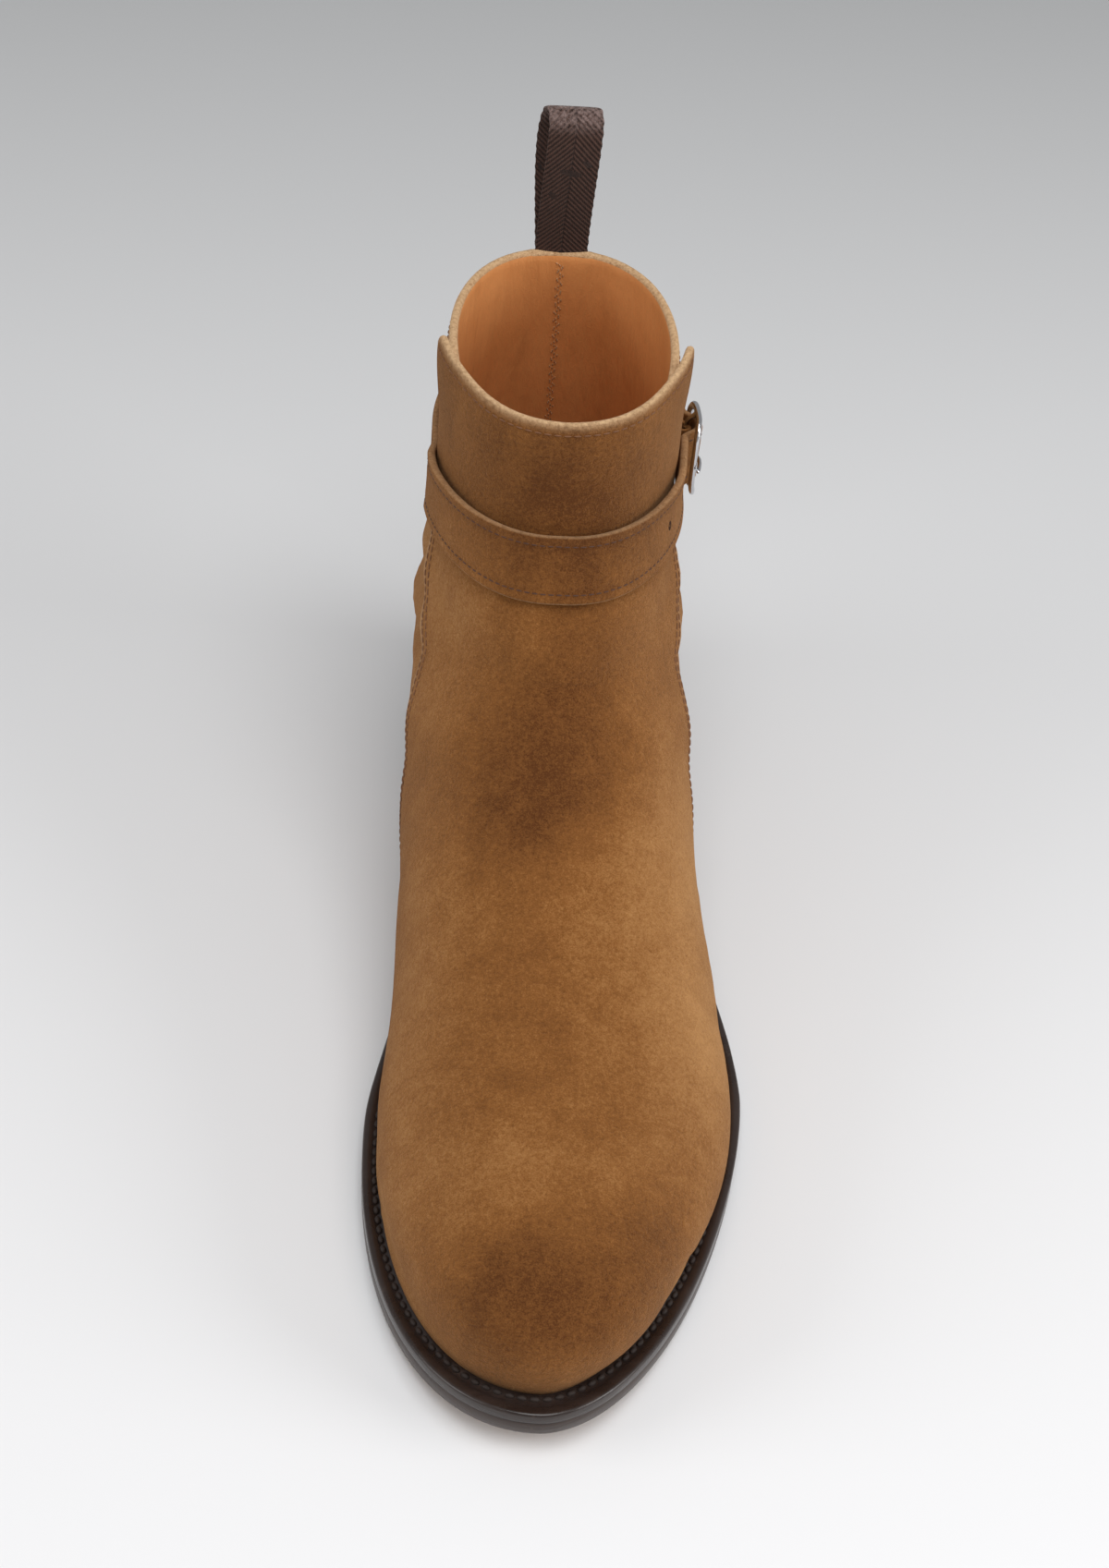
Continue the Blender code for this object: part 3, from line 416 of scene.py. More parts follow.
# Shares run across the strip from its trimmed edge (0) to its inside (1), with None at its lower
# face. The shallow channel beside the upper holds the stitches.
WELT_PROFILE = (
    (0.06, None), (0.0, None), (0.0, -0.9), (0.02, -0.4), (0.07, -0.08), (0.12, 0.0), (0.30, 0.0),
    (0.36, -0.35), (0.46, -0.55), (0.56, -0.35), (0.62, 0.0), (1.0, 0.0), (1.0, None),
)
RAND_PROFILE = ((0.0, None), (0.0, -0.9), (0.04, -0.35), (0.12, 0.0), (1.0, 0.0), (1.0, None))
WELT_END, RAND_START = BREAST - 1.3, BREAST - 0.7
welt = edge_strip("welt_dressed", WELT_PROFILE, end=WELT_END)
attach(welt, "root")
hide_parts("welt")
rand = edge_strip("heel_rand_dressed", RAND_PROFILE, start=RAND_START)
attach(rand, "root")
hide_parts("heel_rand")


def stitch_tree():
    """Stitches along every edge path of a mesh: spacing, length and thickness are inputs."""
    tree = bpy.data.node_groups.new("stitches", "GeometryNodeTree")
    tree.interface.new_socket("Geometry", in_out="INPUT", socket_type="NodeSocketGeometry")
    for name, value in (("Spacing", 0.003), ("Length", 0.0022), ("Thickness", 0.0006)):
        socket = tree.interface.new_socket(name, in_out="INPUT", socket_type="NodeSocketFloat")
        socket.default_value = value
    tree.interface.new_socket("Material", in_out="INPUT", socket_type="NodeSocketMaterial")
    tree.interface.new_socket("Geometry", in_out="OUTPUT", socket_type="NodeSocketGeometry")
    start, end = tree.nodes.new("NodeGroupInput"), tree.nodes.new("NodeGroupOutput")
    path = place(tree, "GeometryNodeMeshToCurve", {"Mesh": start.outputs["Geometry"]})
    dots = place(tree, "GeometryNodeCurveToPoints", {
        "Curve": path.outputs["Curve"], "Length": start.outputs["Spacing"],
    }, mode="LENGTH")
    bead = place(tree, "GeometryNodeMeshUVSphere", {"Segments": 8, "Rings": 6, "Radius": 0.5})
    thick = start.outputs["Thickness"]
    size = place(tree, "ShaderNodeCombineXYZ", {"X": thick, "Y": thick, "Z": start.outputs["Length"]})
    shaped = place(tree, "GeometryNodeTransform", {
        "Geometry": bead.outputs["Mesh"], "Scale": size.outputs["Vector"],
    })
    sewn = place(tree, "GeometryNodeInstanceOnPoints", {
        "Points": dots.outputs["Points"], "Instance": shaped.outputs["Geometry"],
        "Rotation": dots.outputs["Rotation"],
    })
    real = place(tree, "GeometryNodeRealizeInstances", {"Geometry": sewn.outputs["Instances"]})
    smooth = place(tree, "GeometryNodeSetShadeSmooth", {"Geometry": real.outputs["Geometry"]})
    painted = place(tree, "GeometryNodeSetMaterial", {
        "Geometry": smooth.outputs["Geometry"], "Material": start.outputs["Material"],
    })
    tree.links.new(painted.outputs["Geometry"], end.inputs["Geometry"])
    return tree


stitches = stitch_tree()


def sew(name, paths, spacing, length, thickness, look):
    """A row of stitches along each path of points in millimetres, as one plain mesh."""
    points, edges = [], []
    for path in paths:
        start = len(points)
        points += [tuple(float(MM * c) for c in p) for p in path]
        edges += [(start + i, start + i + 1) for i in range(len(path) - 1)]
    mesh = bpy.data.meshes.new(name + "_path")
    mesh.from_pydata(points, edges, [])
    made = bpy.data.objects.new(name, mesh)
    bpy.context.scene.collection.objects.link(made)
    change = made.modifiers.new("stitches", "NODES")
    change.node_group = stitches
    ids = {item.name: item.identifier for item in stitches.interface.items_tree if item.in_out == "INPUT"}
    for key, value in (("Spacing", spacing), ("Length", length), ("Thickness", thickness)):
        change[ids[key]] = value * MM
    change[ids["Material"]] = look
    ready = made.evaluated_get(bpy.context.evaluated_depsgraph_get())
    made.data = bpy.data.meshes.new_from_object(ready)
    made.modifiers.clear()
    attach(made, "root")


def thread_finish(name, colour, rough):
    """Waxed thread, with painted shade where its plies turn under."""
    made, tree, shader = finish_of(name, Specular_IOR_Level=0.35)
    twist = object_noise(tree, 1500.0, 2.0)
    shade = blend(tree, span(tree, twist, 0.3, 0.7), [0.7 * c for c in colour], colour)
    join(tree, shader, shade, span(tree, twist, 0.3, 0.7, rough - 0.08, rough + 0.08), twist, 0.5, 0.0002)
    return made


WELT_STITCH_OUT, WELT_STITCH_SUNK = 1.4, 0.25
welt_thread = thread_finish("welt thread", (0.030, 0.019, 0.015), 0.7)
welt_line = [
    (x, y, welt_high(y) - WELT_STITCH_SUNK) for x, y in edge_loop(lambda y: WELT_STITCH_OUT, end=BREAST - 6)
]
sew("welt_stitches", [welt_line], 3.2, 2.5, 1.6, welt_thread)

# Insole: a smooth tan leather sock, laid over the insole board and seen through the collar. It
# keeps the solid's own form.


def sock_finish():
    """Smooth leather, a little polished by wear."""
    made, tree, shader = finish_of("insole leather", Specular_IOR_Level=0.4)
    cloud = object_noise(tree, 40.0, 4.0)
    colour = blend(tree, cloud, (0.30, 0.13, 0.055), (0.42, 0.20, 0.09))
    rough = span(tree, cloud, 0.3, 0.7, 0.4, 0.55)
    join(tree, shader, colour, rough, object_noise(tree, 1400.0, 3.0), 0.2, 0.0002)
    return made


def recolour(node, look):
    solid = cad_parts[node]
    solid.data.materials.clear()
    solid.data.materials.append(look)


recolour("insole", sock_finish())

# Upper: soft tan suede over a smooth leather lining. The high vamp laps over the two quarters, whose
# seam closes at the back, and the lower edge is drawn in on the welt.
WALL, LAP, LAP_SOLE, STEP_RUN = 2.4, 2.0, 1.2, 0.5
SECTIONS = (  # front y, front z, back y, back z, medial and lateral half width, peak, roundness
    (-263.0, 16.4, -222.0, None, 36.5, 37.5, None, 2.00),
    (-264.4, 23.0, -219.0, None, 37.0, 38.5, None, 2.05),
    (-263.4, 30.5, -215.0, None, 38.0, 40.5, None, 2.10),
    (-259.0, 37.5, -210.0, None, 39.5, 43.0, 1.15, 2.20),
    (-251.0, 43.2, -204.0, None, 41.2, 45.5, 0.98, 2.25),
    (-240.0, 47.2, -197.0, None, 43.2, 48.8, 0.88, 2.25),
    (-226.0, 50.2, -189.0, None, 44.6, 51.8, 0.82, 2.20),
    (-208.0, 53.4, -180.0, None, 45.2, 54.0, 0.78, 2.15),
    (-188.0, 58.0, -169.0, None, 45.2, 54.8, 0.75, 2.10),
    (-168.0, 64.0, -155.0, None, 43.6, 53.4, 0.71, 2.05),
    (-150.0, 71.5, -137.0, None, 42.0, 49.4, 0.66, 2.00),
    (-135.0, 80.0, -115.0, None, 40.8, 45.8, 0.62, 2.00),
    (-123.0, 87.3, -90.0, None, 40.0, 43.2, 0.58, 2.00),
    (-114.5, 93.2, -62.0, None, 39.8, 41.8, 0.55, 2.05),
    (-108.5, 98.0, -36.0, None, 39.8, 41.2, 0.53, 2.10),
    (-104.5, 101.5, -12.0, None, 39.7, 40.8, 0.52, 2.10),
    (-101.5, 104.5, 10.0, None, 39.5, 40.4, 0.51, 2.10),
    (-99.0, 107.0, 24.0, None, 39.3, 40.1, 0.51, 2.10),
    (-97.0, 109.3, 33.0, None, 39.0, 39.8, 0.50, 2.10),
    (-92.0, 116.0, 35.0, 45.0, 38.6, 39.3, 0.50, 2.10),
    (-86.5, 124.5, 35.6, 58.5, 37.4, 37.8, 0.50, 2.10),
    (-81.0, 134.5, 34.5, 76.0, 35.2, 35.0, 0.50, 2.12),
    (-76.5, 145.0, 31.5, 98.0, 33.6, 32.8, 0.50, 2.15),
    (-73.5, 155.0, 28.0, 121.0, 33.2, 33.0, 0.50, 2.15),
    (-71.5, 164.5, 25.5, 144.0, 32.6, 32.8, 0.50, 2.15),
    (-70.0, 173.5, 24.0, 167.0, 31.6, 32.0, 0.50, 2.15),
    (-69.0, 183.0, 23.0, 189.0, 31.0, 31.4, 0.50, 2.15),
)
LAST_FOOT = 18
VAMP_EDGE = (  # z, y
    (0, -112), (20, -107), (35, -100), (55, -89), (75, -76), (90, -64), (108, -50),
    (125, -42), (150, -37), (176, -35), (200, -35),
)
STRAP_HEIGHT = ((0, 133.8), (0.25, 132.0), (0.5, 128.6), (0.75, 126.0), (1.0, 125.5))
TOPLINE = ((0, 147.0), (0.12, 151.0), (0.24, 161.0), (0.36, 166.5), (0.6, 168.0), (1.0, 167.0))
FLAP_TOP = ((0, 173.0), (0.15, 173.6), (0.3, 175.5), (0.5, 178.5))
section_table = np.array([[np.nan if c is None else c for c in row] for row in SECTIONS], float)
section_cache = {}


def section(s, side):
    """The front and back points of a section, and one side of it as shares, widths and lengths."""
    key = (round(s, 6), side)
    if key in section_cache:
        return section_cache[key]
    table, steps = section_table, np.arange(len(section_table), dtype=float)
    front = (hermite(steps, table[:, 0], s), hermite(steps, table[:, 1], s))
    back_y = hermite(steps, table[:, 2], s)
    widest, toe_round = TOE_SHAPES[side]
    if s < LAST_FOOT:
        back_z, foot = foot_z(back_y), half_breadth(side, back_y)
    else:
        above = table[LAST_FOOT:, 3].copy()
        above[0] = foot_z(FOOT_END)
        back_z, foot = hermite(steps[LAST_FOOT:], above, s), 0.0
    wide = hermite(steps, table[:, 5 if side == "lateral" else 4], s)
    toe_peak = (widest - FOOT_TIP) / (table[0, 2] - FOOT_TIP)
    peaks, rounds = table[:, 6].copy(), table[:, 7].copy()
    peaks[:3] = [toe_peak, 0.55 * toe_peak + 0.45 * 1.15, 0.2 * toe_peak + 0.8 * 1.2]
    rounds[:2] = [toe_round, (toe_round + rounds[2]) / 2]
    peak, n = hermite(steps, peaks, s), hermite(steps, rounds, s)
    if peak >= 1:
        wide = foot / (1 - ((peak - 1) / peak) ** n) ** (1 / n)
        angles = np.linspace(0, math.acos(((peak - 1) / peak) ** (n / 2)), 60)
        share = peak * (1 - np.cos(angles) ** (2 / n))
        width = wide * np.sin(angles) ** (2 / n)
    else:
        wide = max(wide, foot + 0.2)
        angles = np.linspace(0, math.pi / 2, 40)
        share = peak * (1 - np.cos(angles) ** (2 / n))
        width = wide * np.sin(angles) ** (2 / n)
        turn = math.asin((foot / wide) ** (n / 2))
        reach = (1 - peak) / math.cos(turn) ** (2 / n)
        low = np.linspace(math.pi / 2, turn, 40)[1:]
        share = np.append(share, peak + reach * np.maximum(np.cos(low), 0) ** (2 / n))
        width = np.append(width, wide * np.maximum(np.sin(low), 0) ** (2 / n))
        share[-1], width[-1] = 1.0, foot
    depth = math.hypot(back_y - front[0], back_z - front[1])
    along = np.append(0, np.cumsum(np.hypot(np.diff(share) * depth, np.diff(width))))
    section_cache[key] = front, (back_y, back_z), share, width, along
    return section_cache[key]


def section_point(s, v):
    front, back, share, width, length = section(s, "lateral" if v >= 0 else "medial")
    t = np.interp(abs(v) * length[-1], length, share)
    x = np.interp(abs(v) * length[-1], length, width) * (1 if v >= 0 else -1)
    return np.array([x, front[0] + (back[0] - front[0]) * t, front[1] + (back[1] - front[1]) * t])


def surface(s, v):
    """The upper's outer form: s runs from the toe (0) to the collar (26), v from medial -1 to 1."""
    low = math.floor(10 * s) / 10
    share = 10 * (s - low)
    if s <= LAST_FOOT or share < 1e-6:
        return section_point(s, v)
    return section_point(low, v) * (1 - share) + section_point(low + 0.1, v) * share


def normal(s, v):
    if s >= LAST_FOOT and abs(v) > 0.995:
        flow = surface(min(s + 0.1, 26), 1) - surface(max(s - 0.1, 0), 1)
        out = np.cross((1.0, 0.0, 0.0), flow)
        return out / np.linalg.norm(out) * (1 if out[1] > 0 else -1)
    along = surface(min(s + 0.1, 26), v) - surface(max(s - 0.1, 0), v)
    across = surface(s, min(v + 0.012, 1)) - surface(s, max(v - 0.012, -1))
    out = np.cross(across, along)
    return out / np.linalg.norm(out)


def side_length(s, v):
    """Length of one side of a section, from the front to the back."""
    near = s if s <= LAST_FOOT else round(s, 1)
    return section(near, "lateral" if v >= 0 else "medial")[4][-1]


@lru_cache(maxsize=None)
def at_height(v, z):
    """The section s at which the form reaches a height."""
    low, high = 12.0, 26.0
    for _ in range(22):
        middle = (low + high) / 2
        if surface(middle, v)[2] < z:
            low = middle
        else:
            high = middle
    return (low + high) / 2


@lru_cache(maxsize=None)
def edge_share(s, side):
    """The share v at which the vamp's side edge crosses a section."""
    sign = 1 if side == "lateral" else -1
    ahead = 0.62 + 0.26 * min(s, 11.0) / 11.0
    point = surface(s, sign)
    if s < 11 or point[1] < curve(VAMP_EDGE, point[2]):
        return ahead
    low, high = 0.0, 1.0
    for _ in range(22):
        middle = (low + high) / 2
        point = surface(s, sign * middle)
        if point[1] < curve(VAMP_EDGE, point[2]):
            low = middle
        else:
            high = middle
    return min(low, ahead + 0.06)


def lap(s, v, edge):
    """How far the vamp stands out of the form, at its side edges and towards the strap."""
    size = (LAP_SOLE + (LAP - LAP_SOLE) * ease((s - 12) / 7)) * ease((s - 10) / 2)
    from_edge = (edge - abs(v)) * side_length(s, v)
    below_strap = ease((surface(s, v)[2] - (curve(STRAP_HEIGHT, abs(v)) - 34)) / 24) if s > 17 else 0.0
    return size * max(math.exp(-((from_edge / 16) ** 2)), below_strap)


# Main creases, seen from the side: soft troughs with a fold beside each, where the ankle bends.
CREASES = (  # start y, start z, end y, end z, depth, width
    (-52, 99, -16, 88, 1.7, 4.5),
    (-62, 84, -24, 72, 2.0, 5.0),
    (-52, 68, -14, 58, 1.2, 5.0),
    (-30, 113, 8, 106, 1.1, 6.0),
    (-112, 78, -78, 62, 0.7, 7.0),
)
INSTEP_BREAKS = ((104.0, 0.7, 5.0), (92.0, 0.5, 6.0))  # height at the front, depth, width


def crease(point):
    """Troughs below and ridges above the form, in millimetres, fading out to the front."""
    x, y, z = point
    total = 0.0
    for y0, z0, y1, z1, depth, width in CREASES:
        run = np.array([y1 - y0, z1 - z0])
        size = np.linalg.norm(run)
        along = ((y - y0) * run[0] + (z - z0) * run[1]) / size**2
        across = ((y - y0) * -run[1] + (z - z0) * run[0]) / size
        ends = ease((along + 0.25) / 0.4) * ease((1.25 - along) / 0.4)
        sides = ease((abs(x) - 16) / 14)
        trough = math.exp(-((across / width) ** 2))
        fold = math.exp(-(((across - 1.7 * width) / (1.3 * width)) ** 2))
        total += depth * ends * sides * (0.75 * fold - trough)
    for height, depth, width in INSTEP_BREAKS:
        across = z - height - 0.1 * abs(x)
        total -= depth * math.exp(-((across / width) ** 2)) * ease((30 - abs(x)) / 16) * (y < -60)
    return total


def tuck(point):
    """How far the ball of the foot is drawn in above the welt, in millimetres."""
    x, y, z = point
    size = 2.4 * ease((x - 8) / 30) + 1.4 * ease((-x - 8) / 26)
    along = ease((y + 262) / 34) * ease((-118 - y) / 40)
    return size * along * ease((z - foot_z(y)) / 9) * ease((62 - z) / 22)


NAP_AND_LIGHT_PATCHES = (  # x, y, z of a patch, its radius, and how much lighter (or darker) it is painted: partly the nap's own tone, partly painted light on the lateral side and painted shade on the toe and on the instep below the strap
    (-14, -250, 40, 20, -0.15), (14, -249, 40, 22, -0.17), (29, -230, 40, 11, -0.20),
    (-6, -190, 57, 30, -0.12), (6, -110, 97, 26, -0.26),
    (-4, -128, 86, 22, -0.20), (0, -82, 152, 26, -0.22), (-30, -150, 58, 34, 0.12), (44, -170, 40, 30, 0.22),
    (-36, -200, 40, 26, 0.14), (40, -110, 60, 30, 0.26), (-36, -70, 100, 26, 0.06), (22, -140, 78, 22, 0.10),
    (-8, -222, 52, 20, 0.12), (36, -20, 80, 34, 0.12), (-34, -6, 70, 34, 0.10), (0, 34, 90, 34, 0.05),
)
PATCH_CONTRAST = 1.4


# The patches summed: the nap's own tone, with painted light and painted shade.
def nap_tone_and_painted_light(point):
    return PATCH_CONTRAST * sum(
        amount * math.exp(-(((point[0] - x) ** 2 + (point[1] - y) ** 2 + (point[2] - z) ** 2) / radius**2))
        for x, y, z, radius, amount in NAP_AND_LIGHT_PATCHES
    )


def nap_group():
    """Suede's nap: broad patches, mottle, streaks and fibres, from a drawn shade (the nap's own tone with
    painted light and painted shade) and a worn edge.
    """
    tree = bpy.data.node_groups.new("suede nap", "ShaderNodeTree")
    for name, value in (
        ("Deep", (0.095, 0.031, 0.007, 1.0)), ("Middle", (0.235, 0.091, 0.022, 1.0)),
        ("Pale", (0.44, 0.218, 0.076, 1.0)), ("Edge", (0.62, 0.41, 0.23, 1.0)),
    ):
        socket = tree.interface.new_socket(name, in_out="INPUT", socket_type="NodeSocketColor")
        socket.default_value = value
    for name in ("Shade", "Worn"):
        tree.interface.new_socket(name, in_out="INPUT", socket_type="NodeSocketFloat")
    tree.interface.new_socket("Color", in_out="OUTPUT", socket_type="NodeSocketColor")
    tree.interface.new_socket("Height", in_out="OUTPUT", socket_type="NodeSocketFloat")
    start, end = tree.nodes.new("NodeGroupInput"), tree.nodes.new("NodeGroupOutput")
    broad = object_noise(tree, 17.0, 3.0, 0.55)
    mottle = object_noise(tree, 75.0, 4.0, 0.6)
    specks = object_noise(tree, 900.0, 3.0, 0.65)
    streaks = object_noise(tree, 150.0, 3.0, 0.6, (1.0, 1.0, 0.14))
    fibres = object_noise(tree, 2600.0, 3.0, 0.7)
    level = added(tree, span(tree, broad, 0.25, 0.75, 0.30, 0.62), start.outputs["Shade"])
    for noise, amount in ((mottle, 0.06), (streaks, 0.08), (specks, 0.14), (fibres, 0.20)):
        level = added(tree, level, span(tree, noise, 0.3, 0.7, -amount, amount))
    low = blend(tree, span(tree, level, 0.0, 0.5), start.outputs["Deep"], start.outputs["Middle"])
    colour = blend(tree, span(tree, level, 0.5, 1.05), low, start.outputs["Pale"])
    frayed = calc(tree, "MULTIPLY", start.outputs["Worn"], span(tree, specks, 0.25, 0.6, 0.35, 1.0))
    colour = blend(tree, frayed, colour, start.outputs["Edge"])
    height = added(tree, specks, times(tree, fibres, 0.8), times(tree, mottle, 0.5))
    tree.links.new(colour, end.inputs["Color"])
    tree.links.new(height, end.inputs["Height"])
    return tree


suede_nap = nap_group()


def suede_finish():
    """Matt suede with a soft sheen, on the nap's own colour and height."""
    made, tree, shader = finish_of(
        "tan suede", Specular_IOR_Level=0.12, Sheen_Weight=0.25, Sheen_Roughness=0.45,
        Sheen_Tint=(0.92, 0.62, 0.36, 1.0),
    )
    nap = place(tree, "ShaderNodeGroup", node_tree=suede_nap)
    for key in ("Shade", "Worn"):
        mark = place(tree, "ShaderNodeAttribute", attribute_name=key.lower())
        tree.links.new(mark.outputs["Fac"], nap.inputs[key])
    rough = span(tree, nap.outputs["Height"], 0.6, 1.6, 0.98, 0.84)
    join(tree, shader, nap.outputs["Color"], rough, nap.outputs["Height"], 0.75, 0.0007)
    return made


def lining_finish():
    """Smooth leather, orange-tan, lightly crumpled up and down the shaft, with painted shade along the
    crumples.
    """
    made, tree, shader = finish_of("lining leather", Specular_IOR_Level=0.42)
    cloud = object_noise(tree, 45.0, 4.0, 0.55)
    wrinkles = object_noise(tree, 130.0, 4.0, 0.6, (1.0, 1.0, 0.22))
    grain = object_noise(tree, 1600.0, 3.0, 0.6)
    colour = blend(tree, cloud, (0.60, 0.235, 0.072), (0.78, 0.350, 0.120))
    # Painted shade: a darker orange along the crumples.
    colour = blend(tree, span(tree, wrinkles, 0.55, 0.75, 0.0, 0.25), colour, (0.36, 0.135, 0.042))
    height = added(tree, wrinkles, times(tree, grain, 0.12))
    join(tree, shader, colour, span(tree, cloud, 0.3, 0.7, 0.42, 0.55), height, 0.5, 0.002)
    return made


suede = suede_finish()
lining = lining_finish()
VAMP_CELLS, QUARTER_CELLS = 22, 18
BACK_STRIP, BACK_STRIP_RISE = 9.5, 0.5
BACK_COLUMNS = (9.1, 5.0, 1.6, 0.7)  # distances from the back seam
BACK_SEAM, BACK_SEAM_WIDTH = 0.55, 0.8
foot_rows = [0.25 * i for i in range(66)]
foot_rows += [16.5, 16.7, 16.9, 17.1, 17.25, 17.4, 17.6, 17.75, 17.85, 17.93, 18.0]


def on_form(s, v, out):
    """A point at a distance out of the form; on the welt it stays level with it."""
    spot, direction = surface(s, v), normal(s, v)
    if s < 1e-6 or (abs(v) > 0.9999 and s <= LAST_FOOT + 1e-6):
        flat = np.array([direction[0], direction[1], 0.0])
        moved = spot + out * flat / np.linalg.norm(flat)
        return np.array([moved[0], moved[1], foot_z(min(moved[1], FOOT_END))])
    return spot + out * direction


def upper_row(kind, value, v):
    """The section s of a row at the share v: in the foot, in the shaft, or from the strap to the top."""
    if kind == "foot":
        return value
    joint = at_height(v, curve(STRAP_HEIGHT, abs(v)) - 1.0)
    if kind == "shaft":
        return LAST_FOOT + (joint - LAST_FOOT) * value
    top = at_height(v, curve(TOPLINE, abs(v)))
    return joint + (top - joint) * value


def wall_faces(rows, size):
    """Faces of two grids of points, one behind the other, turned away from each other."""
    half = rows * size
    faces = []
    for r in range(rows - 1):
        for i in range(size - 1):
            a, b = r * size + i, (r + 1) * size + i
            faces.append((a, a + 1, b + 1, b))
            faces.append((half + b, half + b + 1, half + a + 1, half + a))
    return faces


def rolled_edge(high, low, out, bulge):
    """Points round a wall's edge, from its outer to its inner face, past the edge along out."""
    middle, across = (high + low) / 2, (high - low) / 2
    out = out / np.linalg.norm(out) * bulge * np.linalg.norm(across)
    return [middle + math.cos(turn) * across + math.sin(turn) * out for turn in np.radians((45, 90, 135))]


upper_kinds = [("foot", s) for s in foot_rows]
upper_kinds += [("shaft", (i + 1) / 14) for i in range(14)]
upper_kinds += [("top", t) for t in (0.03, 0.1, 0.2, 0.3, 0.4, 0.5, 0.6, 0.7, 0.8, 0.88, 0.94, 1.0)]
outer, inner, shades, worn = [], [], [], []
for kind, value in upper_kinds:
    row = ([], [], [], [])
    for side, sign in (("medial", -1), ("lateral", 1)):
        edge = 0.5
        for _ in range(1 if kind == "foot" else 4):
            edge = edge_share(upper_row(kind, value, sign * edge), side)
        size = side_length(upper_row(kind, value, sign * edge), sign)
        step = STEP_RUN / size
        shares = [edge * i / VAMP_CELLS for i in range(VAMP_CELLS)] + [edge - 0.6 * step, edge]
        start = edge + step
        reach = 1 - (BACK_STRIP + 0.5) / size
        shares += [start + (reach - start) * i / QUARTER_CELLS for i in range(QUARTER_CELLS + 1)]
        shares += [1 - from_back / size for from_back in BACK_COLUMNS] + [1.0]
        made = ([], [], [], [])
        for share in shares:
            v = sign * share
            s = upper_row(kind, value, v)
            rise = lap(s, v, edge) if kind != "top" and share <= edge + 1e-9 else 0.0
            spot = surface(s, v)
            fold = crease(spot) if share < 0.9999 or s > LAST_FOOT else 0.0
            fold *= ease((spot[2] - foot_z(spot[1])) / 12)
            from_back = (1 - share) * side_length(s, v)
            seam = BACK_SEAM * math.exp(-((from_back / BACK_SEAM_WIDTH) ** 2)) * ease((s - 18.3) / 0.8)
            strip = BACK_STRIP_RISE * ease((BACK_STRIP - from_back) / 0.8) * ease((spot[2] - 70) / 6)
            drawn = tuck(spot)
            near_edge = math.exp(-(((share - edge) * side_length(s, v) + 0.3) / 0.5) ** 2)
            near_rim = ease((value - 0.90) / 0.08) * (0.6 + 0.4 * (value > 0.97)) * (kind == "top")
            made[0].append(on_form(s, v, rise + fold - seam - drawn))
            made[1].append(on_form(s, v, -WALL - strip + 0.5 * fold - drawn))
            made[2].append(nap_tone_and_painted_light(spot) + (0.10 if share > edge else 0.0))
            made[3].append(0.45 * near_edge * (kind != "top") * ease((s - 11) / 2) + near_rim)
        for target, half_row in zip(row, made):
            target += half_row[::-1] if sign < 0 else half_row[1:]
    for target, part in zip((outer, inner, shades, worn), row):
        target.append(part)

row_count, row_size = len(outer), len(outer[0])
half = row_count * row_size
points = [p for row in outer + inner for p in row]
upper_shade = [a for row in shades for a in row] * 2
upper_worn = [a for row in worn for a in row] + [a if a > 0.95 else 0.0 for row in worn for a in row]
faces = wall_faces(row_count, row_size)
indices = [0, 1] * (len(faces) // 2)
for i in range(row_size - 1):
    faces.append((i + 1, i, half + i, half + i + 1))
    indices.append(0)
for r in range(len(foot_rows) - 1):
    a, b = r * row_size, (r + 1) * row_size
    faces.append((a, b, half + b, half + a))
    a, b = a + row_size - 1, b + row_size - 1
    faces.append((b, a, half + a, half + b))
    indices += [0, 0]
RIM_BULGE = 0.9
top = (row_count - 1) * row_size
rim_rings = [[top + i for i in range(row_size)]]
rolled = [
    rolled_edge(outer[-1][i], inner[-1][i], outer[-1][i] - outer[-2][i], RIM_BULGE) for i in range(row_size)
]
for ring in zip(*rolled):
    rim_rings.append([len(points) + i for i in range(row_size)])
    points += ring
    upper_shade += shades[-1]
    upper_worn += [1.0] * row_size
rim_rings.append([half + top + i for i in range(row_size)])
for one, two in zip(rim_rings, rim_rings[1:]):
    for i in range(row_size - 1):
        faces.append((one[i], one[i + 1], two[i + 1], two[i]))
        indices.append(0)
upper = piece(
    "upper_suede", points, faces, [suede, lining], indices, {"shade": upper_shade, "worn": upper_worn}, 70,
)
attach(upper, "root")
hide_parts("upper")

tan_thread = thread_finish("tan thread", (0.20, 0.085, 0.035), 0.6)
pale_thread = thread_finish("lining thread", (0.50, 0.28, 0.14), 0.55)
TOPLINE_SEAM, TOPLINE_SEAM_START, TOPLINE_SEAM_RISE = 3.4, 0.40, 0.12
topline_paths = []
for sign in (-1, 1):
    path = []
    for i in range(60):
        v = sign * (TOPLINE_SEAM_START + (1 - TOPLINE_SEAM_START) * i / 59)
        s = at_height(v, curve(TOPLINE, abs(v)) - TOPLINE_SEAM)
        path.append(surface(s, v) + TOPLINE_SEAM_RISE * normal(s, v))
    topline_paths.append(path)
sew("topline_stitches", topline_paths, 2.6, 2.1, 0.55, tan_thread)

VAMP_SEAMS = (1.8, 4.2)  # distances of the two rows from the vamp's edge
VAMP_SEAM_LOW, VAMP_SEAM_HIGH, VAMP_SEAM_RISE = 11.6, 21.0, 0.1
vamp_paths = []
for side, sign in (("medial", -1), ("lateral", 1)):
    for inset in VAMP_SEAMS:
        path = []
        for i in range(70):
            s = VAMP_SEAM_LOW + (VAMP_SEAM_HIGH - VAMP_SEAM_LOW) * i / 69
            edge = edge_share(s, side)
            v = sign * (edge - inset / side_length(s, sign))
            spot = surface(s, v)
            if spot[2] > curve(STRAP_HEIGHT, abs(v)) - 8 or spot[2] < foot_z(spot[1]) + 3:
                continue
            path.append(on_form(s, v, lap(s, v, edge) + crease(spot) + VAMP_SEAM_RISE))
        vamp_paths.append(path)
sew("vamp_stitches", vamp_paths, 2.4, 1.9, 0.5, tan_thread)

